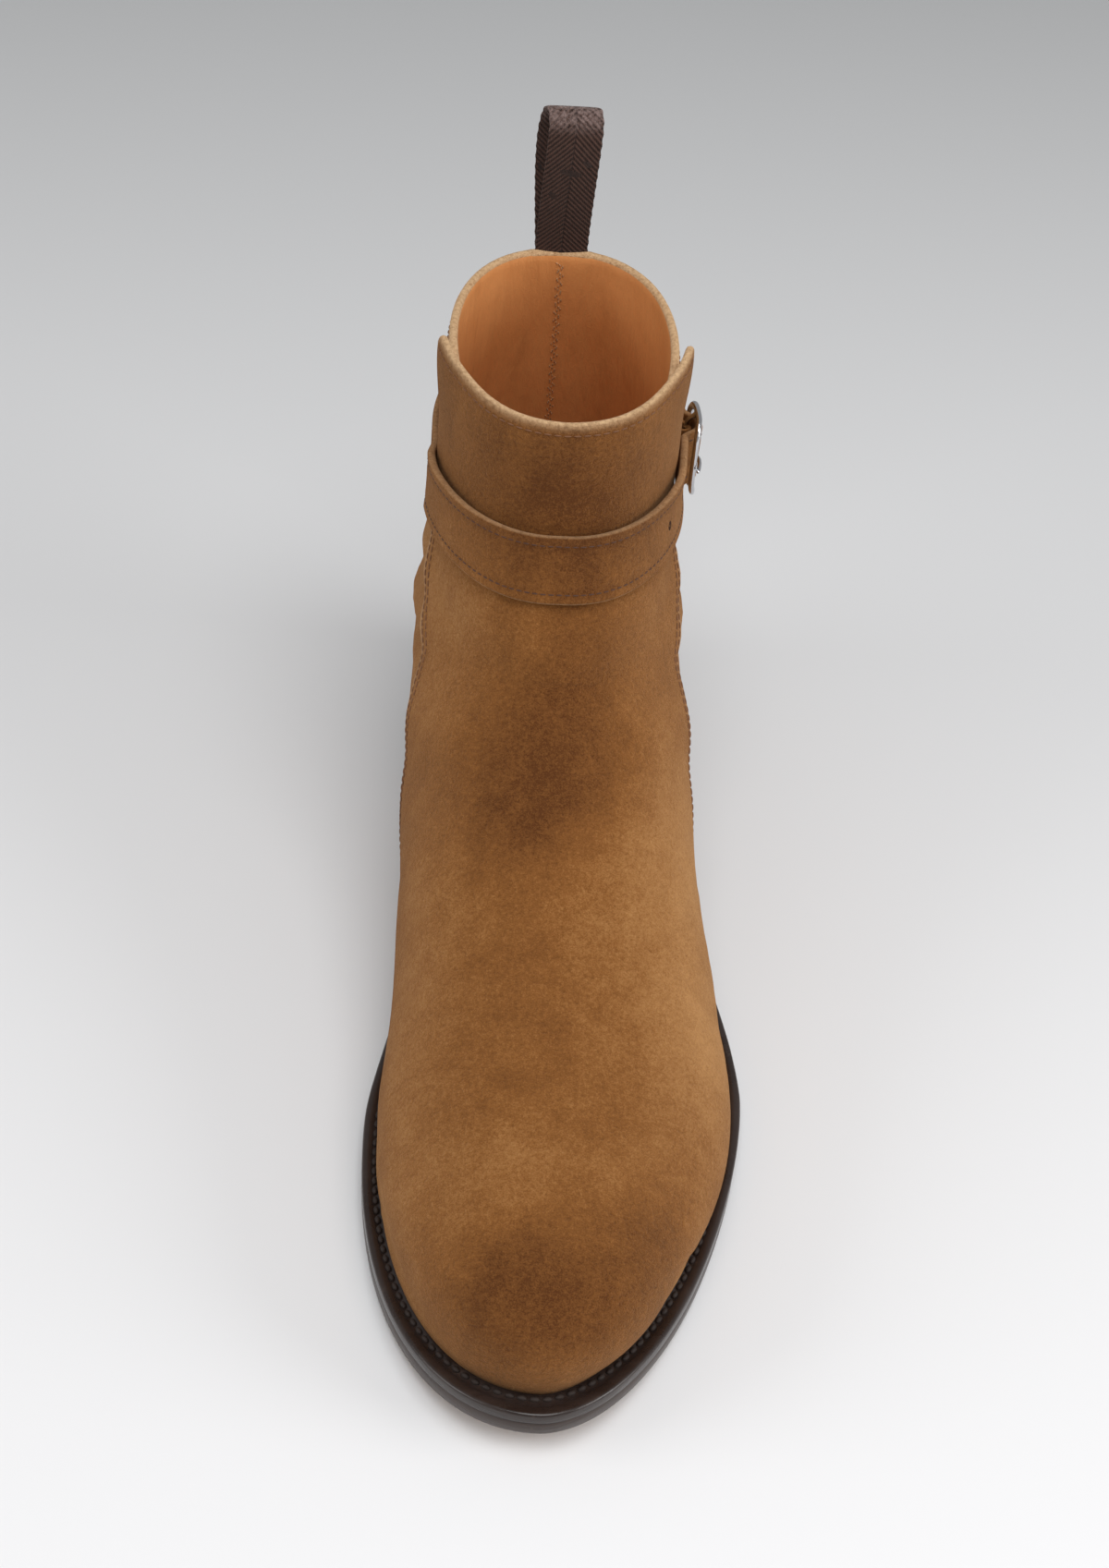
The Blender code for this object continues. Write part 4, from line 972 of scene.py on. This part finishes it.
ZIGZAG_TOP, ZIGZAG_DROP, ZIGZAG_REACH, ZIGZAG_POINTS = 164.5, 1.45, 1.0, 64
ZIGZAG_IN = WALL + BACK_STRIP_RISE + 0.12
back_zigzag = []
for i in range(ZIGZAG_POINTS):
    s = at_height(1.0, ZIGZAG_TOP - ZIGZAG_DROP * i)
    spot = surface(s, 1.0) - ZIGZAG_IN * normal(s, 1.0)
    back_zigzag.append(spot + np.array([ZIGZAG_REACH if i % 2 else -ZIGZAG_REACH, 0.0, 0.0]))
sew("lining_zigzag", [back_zigzag], 1.05, 1.0, 0.42, pale_thread)

# Front flap: the vamp's high front, one with it in the real boot, which laps over the quarters
# above the strap. Its rim is cut raw, turned once and brushed.
FLAP_IN, FLAP_CORNER, FLAP_LOW, FLAP_HALF = 0.3, 5.0, 0.2, 48.0
FLAP_COLUMNS, FLAP_ROWS = 60, 30
FLAP_SEAM = 0.925  # share of the height at which the rim is stitched
FLAP_SEAM_REACH, FLAP_SEAM_RISE = 0.97, 0.05
flap_outer, flap_inner, flap_shade, flap_worn = [], [], [], []


def flap_share(u, level):
    """Section and share of a point of the flap: u from side to side, level from its foot to its rim."""
    side, sign, share = ("lateral", 1, abs(u)) if u >= 0 else ("medial", -1, abs(u))
    for _ in range(4):
        v = sign * max(share, 1e-3)
        run = (1 - abs(u)) * FLAP_HALF
        cut = FLAP_CORNER - math.sqrt(max(0.0, FLAP_CORNER**2 - max(0.0, FLAP_CORNER - run) ** 2))
        low = at_height(v, curve(STRAP_HEIGHT, share) + FLAP_LOW)
        high = at_height(v, curve(FLAP_TOP, share) - cut)
        s = low + (high - low) * level
        share = abs(u) * edge_share(s, side)
    return s, sign * share


def flap_flare(u, level):
    """How far the flap leans out towards its rim, most at its corners."""
    return ease((level - 0.45) / 0.55) * (0.5 + 1.6 * ease((abs(u) - 0.55) / 0.4))


for k in range(FLAP_ROWS + 1):
    rows = [[], [], [], []]
    for i in range(FLAP_COLUMNS + 1):
        u = math.sin(math.pi / 2 * (-1 + 2 * i / FLAP_COLUMNS))
        s, v = flap_share(u, k / FLAP_ROWS)
        direction = normal(s, v)
        spot = surface(s, v)
        flare = flap_flare(u, k / FLAP_ROWS)
        rows[0].append(spot + (LAP + flare) * direction)
        rows[1].append(spot + (FLAP_IN + 0.8 * flare) * direction)
        rows[2].append(nap_tone_and_painted_light(spot) - 0.05)
        rows[3].append(0.6 * ease((k / FLAP_ROWS - 0.95) / 0.05))
    for target, row in zip((flap_outer, flap_inner, flap_shade, flap_worn), rows):
        target.append(row)


def rounded_shell(name, outer, inner, shade, looks, bulge, worn=None, border_wear=1.0):
    """A sheet between two grids of points, with its whole border rounded and marked as worn."""
    rows, size = len(outer), len(outer[0])
    half = rows * size
    points = [p for row in outer + inner for p in row]
    tones = [a for row in shade for a in row] * 2
    wear = [a for row in worn for a in row] if worn else [0.0] * half
    wear += [0.0] * half
    faces = wall_faces(rows, size)
    indices = [0, len(looks) - 1] * (len(faces) // 2)
    border = [(0, i) for i in range(size)] + [(r, size - 1) for r in range(1, rows)]
    border += [(rows - 1, i) for i in range(size - 2, -1, -1)] + [(r, 0) for r in range(rows - 2, 0, -1)]
    rings = [[r * size + i for r, i in border]]
    rolled = []
    for r, i in border:
        inside = outer[min(max(r, 1), rows - 2)][min(max(i, 1), size - 2)]
        rolled.append(rolled_edge(outer[r][i], inner[r][i], outer[r][i] - inside, bulge))
    count = len(border)
    for ring in zip(*rolled):
        rings.append([len(points) + i for i in range(count)])
        points += ring
        tones += [shade[r][i] for r, i in border]
        wear += [border_wear] * count
    rings.append([half + a for a in rings[0]])
    for one, two in zip(rings, rings[1:]):
        for i in range(count):
            j = (i + 1) % count
            faces.append((one[i], one[j], two[j], two[i]))
            indices.append(0)
    return piece(name, points, faces, looks, indices, {"shade": tones, "worn": wear}, 70)


flap = rounded_shell("front_flap_suede", flap_outer, flap_inner, flap_shade, [suede, lining], 0.9, flap_worn)
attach(flap, "root")
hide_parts("front_flap")
flap_seam = []
for i in range(1, 80):
    u = FLAP_SEAM_REACH * (i / 40 - 1)
    s, v = flap_share(u, FLAP_SEAM)
    flap_seam.append(surface(s, v) + (LAP + flap_flare(u, FLAP_SEAM) + FLAP_SEAM_RISE) * normal(s, v))
sew("flap_stitches", [flap_seam], 2.6, 2.0, 0.5, tan_thread)

# Strap: two layers of suede sewn along both edges, from the medial quarter round the front,
# over the buckle's middle bar and back through the keeper.
STRAP_WIDTH, STRAP_THICK, STRAP_LEAN = 18.5, 2.2, 1.2
STRAP_START, STRAP_END, STRAP_OVER_BAR = -0.80, 0.78, 6.9
STRAP_SEAM, STRAP_SEAM_SUNK, STRAP_SEAM_PULL = 2.3, 0.22, 0.28
STRAP_HALF_ROUND = 145.0  # from the front to the back seam, along the strap
BUCKLE_SHARE = 0.535
OVER_TAB = 0.5 + 2 * 1.05 + 0.3 + GAP  # the tab's rest, its two layers and the gap between them


@lru_cache(maxsize=None)
def strap_place(v):
    s = at_height(v, curve(STRAP_HEIGHT, abs(v)))
    return s, np.linalg.norm(surface(s + 0.1, v) - surface(s - 0.1, v)) / 0.2


def band_point(v, across, out):
    """A point of the strap's path: across is up the shaft, out is away from the form."""
    s, scale = strap_place(v)
    s += across / scale
    return surface(s, v) + out * normal(s, v)


def strap_half(v):
    """Half the strap's width, less towards its rounded tip."""
    along = (STRAP_END - v) * side_length(strap_place(v)[0], v)
    reach = STRAP_WIDTH / 2
    if along > reach:
        return reach
    return reach * math.sqrt(max(0.02, 1 - ((reach - along) / reach) ** 2))


def strap_inside(v):
    """How far the strap lies out of the form: on the quarter, the flap, the tab and the buckle's bar."""
    over_flap = LAP + GAP
    side = side_length(strap_place(v)[0], v)
    if v < 0:
        past = (-v - edge_share(strap_place(v)[0], "medial")) * side
        return GAP + (over_flap - GAP) * (1 - ease(past / 9))
    from_bar = (v - BUCKLE_SHARE) * side
    level = over_flap if from_bar < 0 else OVER_TAB
    return level + (STRAP_OVER_BAR - level) * (1 - ease((abs(from_bar) - 1.6) / 6.4))


def strap_lean(v):
    """How much further out the strap's upper edge stands, in front."""
    return STRAP_LEAN * (1 - ease((abs(v) - 0.3) / 0.12))


def strap_rise(v, across):
    """How far the strap's inner face stands out of the form."""
    reach = strap_half(v)
    return strap_inside(v) + strap_lean(v) * (across + reach) / (2 * reach)


STRAP_CELLS, STRAP_ACROSS = 190, 12
end_start = STRAP_END - STRAP_WIDTH / 2 / STRAP_HALF_ROUND
strap_shares = [*np.linspace(STRAP_START, end_start, STRAP_CELLS)]
strap_shares += [end_start + (STRAP_END - end_start) * math.sin(math.radians(a)) for a in range(6, 91, 6)]
strap_outer, strap_inner, strap_shade = [], [], []
for v in strap_shares:
    reach = strap_half(v)
    line_out, line_in, line_shade = [], [], []
    for k in range(STRAP_ACROSS + 1):
        across = reach * math.sin(math.pi / 2 * (-1 + 2 * k / STRAP_ACROSS))
        rise = strap_rise(v, across)
        near_seam = math.exp(-(((reach - abs(across)) - STRAP_SEAM) / 0.7) ** 2)
        line_out.append(band_point(v, across, rise + STRAP_THICK - STRAP_SEAM_PULL * near_seam))
        line_in.append(band_point(v, across, rise))
        # Painted shade: 0.10 darker in the grooves where the edge seams pull the strap in.
        line_shade.append(nap_tone_and_painted_light(line_out[-1]) - 0.07 - 0.10 * near_seam)
    strap_outer.append(line_out)
    strap_inner.append(line_in)
    strap_shade.append(line_shade)
strap = rounded_shell("strap_suede", strap_outer, strap_inner, strap_shade, [suede], 0.55, None, 0.3)
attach(strap, "root")
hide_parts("strap")
strap_thread = thread_finish("strap thread", (0.085, 0.035, 0.018), 0.6)
seam_out = STRAP_THICK - STRAP_SEAM_SUNK
strap_paths = []
for sign in (-1, 1):
    path = []
    for v in np.linspace(STRAP_START + 0.02, STRAP_END - 0.015, 220):
        across = sign * max(strap_half(v) - STRAP_SEAM, 0.4)
        path.append(band_point(v, across, strap_rise(v, across) + seam_out))
    strap_paths.append(path)
first_v = STRAP_START + 0.02
strap_paths.append([
    band_point(first_v, across, strap_rise(first_v, across) + seam_out)
    for across in np.linspace(-6.6, 6.6, 20)
])
sew("strap_stitches", strap_paths, 2.2, 1.75, 0.5, strap_thread)

# Punched holes: two round holes in the strap before the buckle, drawn a little long by wear. Each is
# a dark disc on the strap's face, painted shade standing for the hole's shaded inside.
HOLE_SHARES, HOLE_LONG, HOLE_HIGH, HOLE_POINTS = (0.235, 0.345), 1.1, 1.6, 12
HOLE_HALF_ROUND = 150.0
HOLE_RINGS = ((1.15, -0.12), (0.9, 0.06), (0.0, -0.02))  # radius, height above the strap's face
# The hole's finish is painted shade: near-black, for the shaded inside of the hole.
hole_shade_look, hole_tree, hole_shader = finish_of("punched hole", Roughness=0.95, Specular_IOR_Level=0.1)
hole_painted_shade = blend(hole_tree, object_noise(hole_tree, 1200.0), (0.020, 0.009, 0.005), (0.06, 0.028, 0.014))
hole_tree.links.new(hole_painted_shade, hole_shader.inputs["Base Color"])
hole_points, hole_faces = [], []
for share in HOLE_SHARES:
    start = len(hole_points)
    for radius, height in HOLE_RINGS:
        for k in range(HOLE_POINTS):
            turn = 2 * math.pi * k / HOLE_POINTS
            v = share + radius * HOLE_LONG * math.cos(turn) / HOLE_HALF_ROUND
            across = radius * HOLE_HIGH * math.sin(turn)
            hole_points.append(band_point(v, across, strap_rise(v, across) + STRAP_THICK + height))
    rings = ring_faces(len(HOLE_RINGS), HOLE_POINTS)
    hole_faces += [tuple(start + a for a in face) for face in rings]
holes = piece("strap_holes_painted_shade", hole_points, hole_faces, [hole_shade_look])
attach(holes, "root")

# Buckle: a polished steel frame and prong, held by a folded suede tab sewn to the quarter, with a
# suede keeper for the strap's tip.
steel_look, steel_tree, steel_shader = finish_of("polished steel", Metallic=1.0)
steel_cloud = object_noise(steel_tree, 240.0, 4.0, 0.6)
steel_colour = blend(steel_tree, steel_cloud, (0.50, 0.50, 0.52), (0.66, 0.66, 0.68))
steel_tree.links.new(steel_colour, steel_shader.inputs["Base Color"])
steel_tree.links.new(span(steel_tree, steel_cloud, 0.35, 0.7, 0.10, 0.22), steel_shader.inputs["Roughness"])
JOIN_ANGLE = math.radians(50)


def rounded_steel(node):
    """A copy of a solid's mesh, joined up and rounded by subdivision."""
    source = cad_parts[node]
    mesh = source.data.copy()
    mesh.transform(source.matrix_world)
    mesh.materials.clear()
    mesh.materials.append(steel_look)
    bm = bmesh.new()
    bm.from_mesh(mesh)
    bmesh.ops.remove_doubles(bm, verts=bm.verts, dist=5e-6)
    bmesh.ops.join_triangles(
        bm, faces=bm.faces, angle_face_threshold=JOIN_ANGLE, angle_shape_threshold=JOIN_ANGLE,
    )
    bm.to_mesh(mesh)
    bm.free()
    made = bpy.data.objects.new(node + "_finished", mesh)
    bpy.context.scene.collection.objects.link(made)
    change = made.modifiers.new("round", "SUBSURF")
    change.levels = change.render_levels = 1
    ready = made.evaluated_get(bpy.context.evaluated_depsgraph_get())
    made.data = bpy.data.meshes.new_from_object(ready)
    made.modifiers.clear()
    made.data.shade_smooth()
    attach(made, "root")
    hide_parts(node)


rounded_steel("buckle_frame")
rounded_steel("buckle_prong")
recolour("buckle_tab", suede)
recolour("keeper", suede)

# Pull loop: a cotton tape woven in herringbone, folded over and sewn inside the back of the collar.
LOOP_WIDTH, LOOP_THICK, LOOP_STEPS, LOOP_ACROSS = 15.2, 1.0, 118, 32
RIB_PITCH, THREAD_PITCH = 1.6, 0.5
LOOP_INSIDE = 24.05  # y of the path at which the wall's outer face passes
LOOP_PATH = (  # x, y, z
    (0.0, 22.1, 0.0), (0.1, 21.4, 7.0), (0.4, 20.0, 16.0), (0.9, 18.9, 26.0), (1.4, 18.6, 35.0),
    (1.7, 19.4, 41.5), (1.4, 21.4, 45.0), (0.6, 24.0, 45.2), (-0.4, 26.2, 42.0), (-1.2, 27.3, 35.0),
    (-1.3, 27.4, 26.0), (-0.9, 26.4, 16.0), (-0.4, 24.9, 7.0), (0.0, 23.7, 0.0),
)


def tape_finish():
    """Dark brown cotton in chevrons that meet at a centre line, with a painted highlight on the bend."""
    made, tree, shader = finish_of(
        "herringbone tape", Specular_IOR_Level=0.15, Sheen_Weight=0.08, Sheen_Roughness=0.5,
    )
    uv = place(tree, "ShaderNodeUVMap", uv_map="weave")
    split = place(tree, "ShaderNodeSeparateXYZ", {"Vector": uv.outputs["UV"]})
    from_middle = calc(tree, "ABSOLUTE", split.outputs["X"])
    ribs = added(tree, split.outputs["Y"], from_middle)
    wave = calc(tree, "SINE", times(tree, ribs, 2 * math.pi / RIB_PITCH))
    threads = calc(tree, "SINE", times(tree, split.outputs["X"], 2 * math.pi / THREAD_PITCH))
    centre = span(tree, from_middle, 0.0, 0.35, 1.0, 0.0)
    fuzz = object_noise(tree, 900.0, 4.0, 0.7)
    worn_yarn = span(tree, fuzz, 0.3, 0.7, 0.25, 0.75)
    level = added(tree, times(tree, wave, 0.45), times(tree, threads, 0.12), worn_yarn)
    colour = blend(tree, level, (0.020, 0.009, 0.006), (0.088, 0.047, 0.035))
    colour = blend(tree, times(tree, centre, 0.6), colour, (0.016, 0.008, 0.007))
    # Painted highlight: the mark named dust lays a pale grey over the top of the fold, where light catches
    # it.
    dust = place(tree, "ShaderNodeAttribute", attribute_name="dust")
    fold_highlight = times(tree, dust.outputs["Fac"], span(tree, fuzz, 0.35, 0.65))
    colour = blend(tree, fold_highlight, colour, (0.24, 0.17, 0.155))
    height = added(tree, level, times(tree, centre, -0.8))
    join(tree, shader, colour, span(tree, fuzz, 0.3, 0.7, 0.82, 0.98), height, 0.8, 0.0005)
    return made


loop_foot = surface(at_height(1.0, curve(TOPLINE, 1.0)), 1.0)
path_knots = np.array([
    [x, y + loop_foot[1] - LOOP_INSIDE, z + loop_foot[2] + GAP] for x, y, z in LOOP_PATH
])
knot_places = np.arange(len(path_knots), dtype=float)
loop_path = np.array([
    [hermite(knot_places, path_knots[:, k], t) for k in range(3)]
    for t in np.linspace(0, len(path_knots) - 1, LOOP_STEPS)
])
loop_length = np.append(0, np.cumsum(np.linalg.norm(np.diff(loop_path, axis=0), axis=1)))
loop_points, loop_uv, loop_fold_highlight = [], [], []
for i, point in enumerate(loop_path):
    tangent = loop_path[min(i + 1, len(loop_path) - 1)] - loop_path[max(i - 1, 0)]
    tangent[0] = 0.0
    tangent /= np.linalg.norm(tangent)
    if i in (0, len(loop_path) - 1):
        tangent = np.array([0.0, 0.0, 1.0 if i == 0 else -1.0])
    out = np.cross((1.0, 0.0, 0.0), tangent)
    for k in range(LOOP_ACROSS):
        turn = 2 * math.pi * k / LOOP_ACROSS
        reach = LOOP_WIDTH / 2 * math.copysign(abs(math.cos(turn)) ** 0.55, math.cos(turn))
        reach += 0.12 * math.sin(1.9 * loop_length[i]) * math.copysign(1.0, reach) * (abs(reach) > 7)
        thick = LOOP_THICK / 2 * math.copysign(abs(math.sin(turn)) ** 0.45, math.sin(turn))
        loop_points.append(point + np.array([reach, 0.0, 0.0]) + out * thick)
        loop_uv.append((reach, loop_length[i]))
        # The fold's painted highlight, kept in the mark named dust.
        loop_fold_highlight.append(ease((point[2] - loop_foot[2] - 39.0) / 6.0))
loop_last = (LOOP_STEPS - 1) * LOOP_ACROSS
loop_faces = ring_faces(LOOP_STEPS, LOOP_ACROSS)
loop_faces += [tuple(range(LOOP_ACROSS))[::-1], tuple(range(loop_last, loop_last + LOOP_ACROSS))]
loop = piece("pull_loop_tape", loop_points, loop_faces, [tape_finish()], None, {"dust": loop_fold_highlight}, 60)
weave = loop.data.uv_layers.new(name="weave")
nearest = {tuple(np.round(np.array(p) * MM, 6)): uv for p, uv in zip(loop_points, loop_uv)}
for corner in loop.data.loops:
    spot = tuple(np.round(np.array(loop.data.vertices[corner.vertex_index].co), 6))
    weave.data[corner.index].uv = nearest.get(spot, (0.0, 0.0))
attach(loop, "root")
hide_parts("pull_loop")

# Floor: one plain pale sheet, matt and seamless, its colour darkened evenly away from the viewer as a
# painted falloff of light. It only carries the boot.
FLOOR_SIZE = 8.0
FLOOR_NEAR, FLOOR_FAR = -0.3, 1.0
floor_look, floor_tree, floor_shader = finish_of("floor", Roughness=0.7, Specular_IOR_Level=0.2)
floor_place = place(floor_tree, "ShaderNodeTexCoord")
floor_split = place(floor_tree, "ShaderNodeSeparateXYZ", {"Vector": floor_place.outputs["Object"]})
# Painted falloff of light: the colour darkens from near to far along y.
floor_painted_falloff = span(floor_tree, floor_split.outputs["Y"], FLOOR_NEAR, FLOOR_FAR)
floor_colour = blend(floor_tree, floor_painted_falloff, (0.80, 0.80, 0.81), (0.30, 0.31, 0.315))
floor_tree.links.new(floor_colour, floor_shader.inputs["Base Color"])
floor_mesh = bpy.data.meshes.new("floor")
reach = FLOOR_SIZE / 2
floor_mesh.from_pydata(
    [(-reach, -reach, 0), (reach, -reach, 0), (reach, reach, 0), (-reach, reach, 0)], [], [(0, 1, 2, 3)],
)
floor_mesh.materials.append(floor_look)
floor = bpy.data.objects.new("floor", floor_mesh)
bpy.context.scene.collection.objects.link(floor)

# Studio light: a broad soft light overhead towards the viewer, weaker ones at both sides, and an
# even pale surround.
LIGHTS = (  # name, place, width, power
    ("overhead", (0.15, -0.55, 1.6), 1.2, 16.0),
    ("right_side", (1.2, -0.5, 0.6), 0.8, 8.0),
    ("left_side", (-1.2, -0.4, 0.7), 0.8, 5.0),
)
TARGET = Vector((0.0, -0.11, 0.07))
for name, spot, width, power in LIGHTS:
    light = bpy.data.lights.new(name, "AREA")
    light.shape = "DISK"
    light.size = width
    light.energy = power
    lamp = bpy.data.objects.new(name, light)
    lamp.location = spot
    lamp.rotation_euler = (TARGET - Vector(spot)).to_track_quat("-Z", "Y").to_euler()
    bpy.context.scene.collection.objects.link(lamp)
world = bpy.data.worlds.new("surround")
world.use_nodes = True
world.node_tree.nodes["Background"].inputs["Color"].default_value = (1.0, 1.0, 1.0, 1.0)
world.node_tree.nodes["Background"].inputs["Strength"].default_value = 0.36
bpy.context.scene.world = world
bpy.context.scene.view_settings.view_transform = "Standard"
